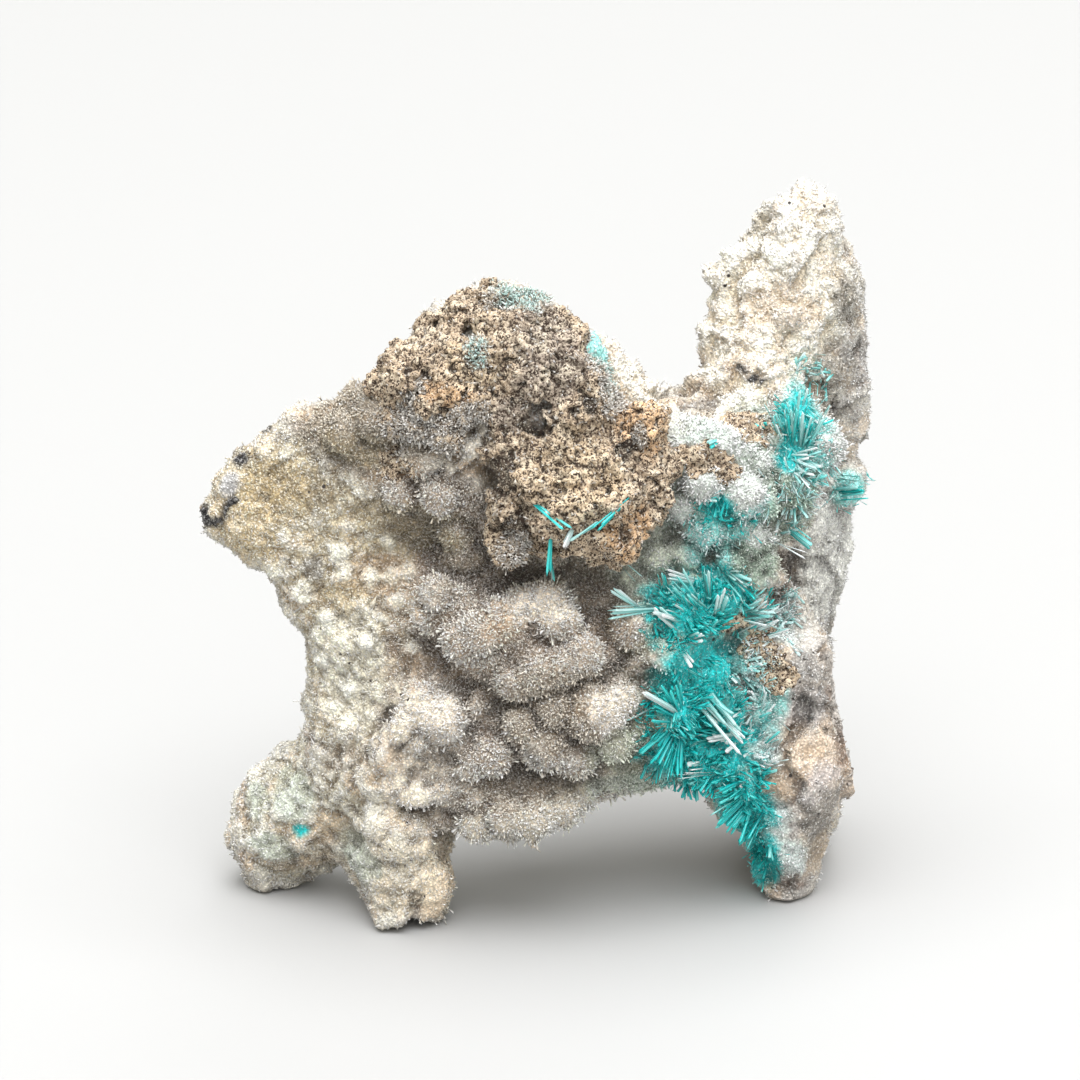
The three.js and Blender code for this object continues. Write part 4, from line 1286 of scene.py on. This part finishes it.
def limonite_skin(rock):
    """The lumpy cap set with crumbs and pitted with pores, and crumbs on the patches of the rock."""
    rng = np.random.default_rng(SEED + 2)
    form = lumpy_cap(rng)
    crumbs = set_with_crumbs(form, CAP_CRUMBS, CRUMB_RADII, (-0.45, 0.5), rng)
    points, faces = remeshed(*joined([form, crumbs, patch_crumbs(rock, rng)]), LIMONITE_VOXEL)
    outward = unit(relaxed(normals_of(points, faces), faces, 12))
    pores = smooth_step(0.6, 0.9, cell_distance(points, 0.9, 15))
    sponge = (0.5 - cell_distance(points, 0.36, 14)) * 0.2 - 0.45 * pores
    points = points + outward * (sponge - HOLLOW_DEPTH * within(points, "cap_hollows"))[:, None]
    druse = within(points, "cap_druse")
    return dict(
        points=points,
        faces=faces,
        outward=outward,
        length=np.full(len(points), 0.36),
        crowd=2.2 * druse + 0.02,
        grit=0.3 * druse + 0.1,
        rise=np.full(len(points), 0.5),
        colours=limonite_colours(points, faces, druse),
        crystal=laid_over(CAP_CRYSTAL, within(points, "cap_teal"), CAP_TEAL_CRYSTAL),
    )


def add_limonite(skin):
    thin = thinned(skin, LIMONITE_TRIANGLES)
    add_piece("limonite_crumb", *thin, limonite_material(), "limonite", replaces=["limonite_cap"])


# ---------- The teal sprays ----------

# Fans of blades: foot x and z, tip x and z, how far the tip stands out from the foot, how many blades,
# how wide the fan is at its feet and at its tips, a blade's width (all mm), and how pale it is from 0 to 1.
FANS = {
    "teal_spray_middle": [
        (11, 28.7, 5.4, 29.1, 3, 5, 0.5, 0.3, 0.26, 0.8), (8.7, 28.6, 6, 31.4, 2.2, 3, 0.2, 0.5, 0.26, 0.75),
        (13.5, 27.6, 10.6, 31, 1.5, 14, 0.7, 0.9, 0.2, 0.5),
        (11.8, 27.8, 9.4, 29.4, 2, 6, 0.4, 0.5, 0.26, 0.95),
        (12.1, 25.9, 9.6, 29.4, 2.2, 5, 0.4, 0.5, 0.28, 0.75),
        (13.8, 28.1, 13.4, 32.2, 2, 14, 1, 0.4, 0.2, 0.15),
        (13.3, 30.1, 10.6, 31.4, 1.5, 3, 0.3, 0.3, 0.42, 1),
        (15.3, 30.6, 17.2, 29.2, 1.5, 10, 0.4, 1.6, 0.25, 0.6),
        (15.2, 30.6, 17, 30.7, 1.2, 6, 0.3, 0.7, 0.22, 0.7),
        (16.6, 27.7, 15.7, 29.4, 1.2, 2, 0.2, 0.2, 0.45, 1),
        (14.5, 26.8, 15.1, 30, 1.5, 4, 0.4, 0.4, 0.4, 0.8),
        (16.5, 26.8, 19.2, 28.2, 1.5, 22, 0.6, 1.8, 0.2, 0.6),
        (16.3, 24.4, 19.9, 27.2, 1.2, 24, 0.8, 2, 0.22, 0.9),
        (13.3, 24.8, 9, 25.9, 2.4, 5, 0.3, 0.3, 0.3, 0.9),
        (11.9, 25.7, 13.5, 26.8, 1.2, 4, 0.2, 0.4, 0.28, 0.8),
        (11.9, 24.8, 12.4, 24.2, 1.2, 2, 0.1, 0.2, 0.32, 1),
        (13.9, 28.3, 13.7, 32.1, 1.6, 3, 0.3, 0.2, 0.22, 0.7),
        (14.8, 29.3, 14, 30.7, 1, 2, 0.1, 0.2, 0.24, 0.3), (10.6, 29.4, 9.5, 31.8, 1, 8, 0.5, 1, 0.18, 0.4),
        (12.4, 27.7, 11.3, 29.6, 1.2, 12, 1.2, 1.4, 0.2, 0.25),
        (13.2, 25.8, 14.1, 27.7, 1, 12, 1.2, 1.4, 0.22, 0.2),
    ],
    "teal_spray_front": [
        (12.6, 18.8, 8.5, 22.6, 3.6, 3, 0.12, 0.12, 0.36, 1),
        (10.6, 20.7, 7, 19.9, 2, 2, 0.1, 0.2, 0.14, 0.8),
        (11.7, 19.7, 10.5, 23.4, 1.5, 14, 0.4, 1.8, 0.2, 0.3),
        (11.3, 19.4, 9.1, 20.8, 1.5, 8, 0.5, 1.4, 0.18, 0.25),
        (11.4, 18.6, 9.5, 15.6, 1.5, 30, 0.8, 2.3, 0.22, 0.1),
        (11.6, 18, 10.9, 14.5, 1.5, 14, 0.6, 0.9, 0.22, 0.1),
        (13.3, 20.5, 16.6, 17.7, 1.5, 14, 0.7, 0.8, 0.28, 0.6),
        (15.2, 18.2, 16.8, 17.1, 1.3, 5, 0.4, 0.4, 0.4, 1), (16.3, 16, 14.3, 16.2, 1.5, 6, 0.6, 0.6, 0.42, 1),
        (17.2, 15.8, 12.1, 15.4, 2, 34, 1.6, 2, 0.24, 0.2),
        (16.9, 16.4, 13.7, 18.1, 1.5, 10, 0.8, 1, 0.22, 0.3),
        (13.7, 14.4, 12.5, 14.6, 1.2, 3, 0.3, 0.3, 0.45, 1),
        (15.7, 13.3, 11.3, 14.3, 2.6, 3, 0.2, 0.3, 0.13, 0.95),
        (14.4, 13.7, 13.1, 12.2, 1.2, 14, 0.8, 1, 0.22, 0.15),
        (17.4, 12.2, 14.4, 11.2, 1.5, 26, 1.6, 1.8, 0.24, 0.12),
        (17.8, 10.4, 15.5, 8, 1.3, 24, 1.2, 1.6, 0.24, 0.12), (18, 11.3, 17.2, 12.8, 1, 4, 0.5, 0.6, 0.28, 1),
        (18.4, 7.1, 17.1, 5.9, 1, 14, 0.8, 1, 0.2, 0.15), (19, 4.5, 17.9, 3.6, 0.9, 12, 0.6, 0.8, 0.2, 0.15),
        (19.3, 2.8, 18.8, 2, 0.7, 8, 0.4, 0.5, 0.18, 0.3),
        (14.3, 21.7, 12.3, 23.3, 1.6, 2, 0.1, 0.1, 0.2, 0.4),
        (13.6, 16.4, 11.5, 19.1, 1.6, 3, 0.2, 0.3, 0.18, 0.4),
        (12.7, 17.6, 11.1, 17.1, 1.4, 2, 0.1, 0.2, 0.16, 0.5),
        (17.1, 20.1, 16.2, 22.4, 1, 14, 1.6, 1.8, 0.2, 0.7),
        (17.5, 18.1, 18.1, 20.2, 0.9, 12, 1.4, 1.6, 0.2, 0.8),
        (17.7, 15.7, 18.3, 17.3, 0.9, 12, 1.4, 1.6, 0.2, 0.8),
        (15.5, 20.1, 16.5, 21.7, 1, 14, 1.4, 1.6, 0.22, 0.4),
    ],
    "teal_spray_shoulder": [
        (21.5, 40, 22, 44.3, 1.5, 26, 1, 2.2, 0.22, 0.6),
        (20.7, 40.7, 20.2, 44.5, 1.3, 16, 0.8, 1.6, 0.22, 0.5),
        (20.9, 42.7, 20.7, 43.9, 0.8, 8, 0.5, 0.5, 0.2, 0.1),
        (22.1, 40.8, 22, 42.4, 0.8, 8, 0.4, 0.5, 0.2, 0.1),
        (20.5, 40.8, 21.1, 41.7, 0.8, 6, 0.4, 0.5, 0.2, 0.1),
        (20.1, 40, 18.6, 39.2, 1.2, 10, 0.6, 1.2, 0.24, 0.9),
        (20.5, 39.4, 22.4, 38.3, 1.5, 18, 0.6, 2, 0.22, 0.9),
        (21.1, 39.3, 23.3, 39.2, 1.2, 10, 0.6, 1.4, 0.22, 0.8),
        (16.8, 42.7, 15.4, 42.3, 1.5, 3, 0.3, 0.3, 0.38, 1),
        (15, 42.7, 14, 42.5, 0.9, 3, 0.2, 0.3, 0.24, 0.4),
        (20.6, 33.5, 22.6, 32.3, 1.5, 4, 0.3, 0.4, 0.36, 0.5),
        (18.5, 33.8, 21.8, 32.7, 2, 2, 0.1, 0.1, 0.17, 1),
        (21.8, 31.5, 24.4, 35.5, 2.2, 2, 0.1, 0.2, 0.2, 0.7),
        (21.9, 33.2, 24.7, 36.9, 2.2, 1, 0.1, 0.1, 0.13, 0.8),
        (20.4, 36.7, 19.3, 36, 0.9, 4, 0.3, 0.4, 0.18, 0.8), (21.6, 35.8, 23, 37, 1, 10, 1, 1.2, 0.2, 0.7),
        (22.7, 42.6, 23.4, 44.1, 0.9, 10, 0.8, 1, 0.18, 0.8),
        (22, 37.6, 22.5, 38.8, 0.8, 8, 0.8, 1, 0.2, 0.5),
    ],
    "teal_spray_knoll": [
        (14.8, 36.3, 14.4, 37.8, 0.9, 9, 0.6, 0.7, 0.2, 0.1),
        (16.5, 35.4, 15.3, 36.4, 0.9, 9, 0.5, 0.7, 0.2, 0.2),
        (13.5, 32, 10.7, 36.6, 1.8, 2, 0.1, 0.15, 0.18, 0.35),
        (14.2, 33.4, 15, 34.7, 0.8, 6, 0.6, 0.8, 0.18, 0.6),
    ],
    "teal_spray_hollow": [
        (25.3, 32.9, 27.5, 33.2, 1.6, 4, 0.4, 0.5, 0.26, 0.3),
        (25.3, 31.5, 27.6, 32.6, 1.6, 5, 0.5, 0.5, 0.28, 0.4),
    ],
    "teal_needles_right": [
        (5.9, 32.9, 8.1, 31, 2, 2, 0.2, 0.3, 0.16, 0.85), (8.1, 35.5, 8.9, 38.5, 1, 1, 0.1, 0.1, 0.15, 0.5),
    ],
    "teal_needles_left": [(0.9, 34, 1, 31.6, 2, 2, 0.1, 0.1, 0.16, 0.4)],
}
# Needles lying over the cap: foot, tip, how many, width and tone.
CAP_NEEDLES = [
    ((7.4, -12.2, 40), (4.4, -14.6, 38), 3, 0.2, 0.1), ((4.6, -13.9, 38.2), (2.4, -13.9, 37.3), 2, 0.18, 0.6),
    ((-0.4, -12.9, 39.6), (2.8, -14.6, 38), 2, 0.2, 0.2),
    ((0.9, -12.7, 39.2), (0.9, -13.3, 33.4), 2, 0.2, 0.25),
    ((2.8, -12.8, 37.8), (2.2, -13.4, 36.2), 7, 0.22, 1),
]
# Short blades for each disc of radius 1 mm, and how long they are in mm.
FILL_PER_AREA = {
    "teal_spray_middle": 46, "teal_spray_front": 48, "teal_spray_shoulder": 36, "teal_spray_knoll": 28,
    "teal_spray_hollow": 8, "teal_needles_left": 0, "teal_needles_right": 0,
}
FILL_LENGTH = (0.5, 1.8)
LONELY_FAN = 5  # a fan of no more blades than this is kept closer to its place
SHEAF_SIZE = 1.6  # short blades in cells of this size lean the same way, mm
SHEAF_SEED = 7
# Widths in mm that divide needles from laths and laths from blades, and a blade's depth by its width.
FINE_NEEDLE = 0.17
WIDE_BLADE = 0.3
BLADE_FLATTENING = 0.45
# A blade's colour at its foot and at its tip, from the deepest to the palest.
BLADE_TONES = [
    (0.0, srgb(0, 142, 148), srgb(0, 208, 205)),
    (0.3, srgb(0, 190, 190), srgb(50, 230, 224)),
    (0.65, srgb(84, 204, 200), srgb(196, 242, 238)),
    (1.0, srgb(206, 242, 239), srgb(255, 255, 255)),
]


def blade_colours(tones, height):
    """Colour along blades of these tones, at these shares of their length."""
    steps = [tone for tone, _, _ in BLADE_TONES]
    foot, tip = (
        np.stack([np.interp(tones, steps, channel) for channel in zip(*colours)], axis=1)
        for colours in ([low for _, low, _ in BLADE_TONES], [high for _, _, high in BLADE_TONES])
    )
    return laid_over(foot, smooth_step(0.15, 1, height), tip)


def rooted(feet, tips, tree, depth=0.3):
    """Those blades moved so that each foot sits a little under the surface."""
    feet = np.array(feet, dtype=float).reshape(-1, 3)
    tips = np.array(tips, dtype=float).reshape(-1, 3)
    for index, foot in enumerate(feet.copy()):
        place, outward, _, _ = tree.find_nearest(Vector(foot))
        move = np.array(place - outward * depth) - foot
        feet[index] += move
        tips[index] += move * 0.5
    return feet, tips


def fan_blades(fan, tree, rng):
    """Feet, tips, widths and tones of one fan's blades."""
    foot_x, foot_z, tip_x, tip_z, lift, count, foot_spread, tip_spread, width, tone = fan
    y = front_of(tree, foot_x, foot_z)
    foot = np.array((foot_x, y + 0.4, foot_z))
    tip = np.array((tip_x, y - lift, tip_z))
    side = unit(np.cross(tip - foot, (0, 1, 0)))
    place = rng.uniform(-1, 1, (count, 1))
    loose = 0.6 if count > LONELY_FAN else 0.3
    feet = foot + side * place * foot_spread + rng.normal(size=(count, 3)) * 0.35 * loose
    tips = tip + side * place * tip_spread * 1.2 + rng.normal(size=(count, 3)) * (0.6, 0.8, 0.6) * loose
    reach = rng.uniform(0.9 if count <= LONELY_FAN else 0.5, 1.06, (count, 1))
    widths = width * rng.uniform(0.45, 1.15, count)
    feet, tips = rooted(feet, feet + (tips - feet) * reach, tree)
    return feet, tips, widths, np.clip(tone + rng.normal(size=count) * 0.14, 0, 1)


def fill_blades(discs, per_area, tree, rng):
    """Short deep blades between the fans."""
    feet, tones = [], []
    for x, z, radius, pale in discs:
        for _ in range(int(radius * radius * per_area)):
            angle = rng.uniform(0, 2 * math.pi)
            reach = radius * math.sqrt(rng.uniform(0, 1))
            fx, fz = x + reach * math.cos(angle), z + reach * math.sin(angle)
            foot = np.array((fx, front_of(tree, fx, fz) + 0.3, fz))
            feet.append(foot)
            tones.append(min(1.0, pale + rng.beta(1.0, 4.5)))
    feet = np.array(feet).reshape(-1, 3)
    count = len(feet)
    cell = np.floor(feet / SHEAF_SIZE + CELL_SHIFT).astype(np.int64)
    sheaf = (jittered(cell, SHEAF_SEED) - 0.5) * (2.4, 1.0, 2.4) - (0, 0.6, 0)
    ways = unit(sheaf + rng.normal(size=(count, 3)) * 0.4)
    tips = feet + ways * rng.uniform(*FILL_LENGTH, (count, 1))
    feet, tips = rooted(feet, tips, tree, 0.1)
    return feet, tips, 0.07 + 0.2 * rng.beta(1.0, 2.4, count), np.array(tones)


def add_sprays(tree):
    material = teal_material()
    rng = np.random.default_rng(SEED + 3)
    for name, discs in SPRAY_DISCS.items():
        groups = [fan_blades(fan, tree, rng) for fan in FANS[name]]
        groups.append(fill_blades(discs, FILL_PER_AREA[name], tree, rng))
        add_blades(name + "_blades", groups, material, rng, [name])
    needles = []
    for foot, tip, count, width, tone in CAP_NEEDLES:
        feet = foot + rng.normal(size=(count, 3)) * 0.12
        tips = tip + rng.normal(size=(count, 3)) * 0.3
        tones = np.clip(tone + rng.normal(size=count) * 0.1, 0, 1)
        needles.append((feet, tips, np.full(count, width), tones))
    add_blades("teal_needles_cap", needles, material, rng)


def add_blades(name, groups, material, rng, replaces=()):
    """One piece of blades from groups of feet, tips, widths and tones."""
    feet, tips, widths, tones = (np.concatenate(column) for column in zip(*groups))
    meshes = []
    for chosen, section, rings in (
        (widths < FINE_NEEDLE, WEDGE, [(0.9, 1, 1)]),
        ((widths >= FINE_NEEDLE) & (widths < WIDE_BLADE), LATH, [(0.06, 0.9, 0.9), (0.92, 1, 1)]),
        (widths >= WIDE_BLADE, BLADE, [(0.06, 0.9, 0.9), (0.5, 1, 1), (0.94, 0.96, 0.96)]),
    ):
        if not chosen.any():
            continue
        axes = tips[chosen] - feet[chosen]
        lengths = np.linalg.norm(axes, axis=1)
        wide = widths[chosen]
        flats = rng.normal(size=(len(wide), 3)) * 0.6 + (0, -1, 0.2)
        points, faces, height, aside, which = crystals(
            feet[chosen], axes, lengths, wide, wide * BLADE_FLATTENING, section, rings, rng, 0.35, flats
        )
        colours = blade_colours(tones[chosen][which], height)
        meshes.append((points, faces, colours, which * 3.7 + aside * wide[which]))
    joint = joined([mesh[:2] for mesh in meshes])
    colours = np.concatenate([mesh[2] for mesh in meshes])
    lane = np.concatenate([mesh[3] for mesh in meshes])
    add_piece(name, *joint, colours, material, "teal_crystal", replaces=replaces, lane=lane)


def main():
    add_camera()
    add_studio()
    add_floor()
    rock = build_rock_skin()
    limonite = limonite_skin(rock)
    add_rock(rock)
    add_limonite(limonite)
    add_druse(both_skins(rock, limonite))
    add_sprays(tree_of(rock["points"], rock["faces"]))


main()
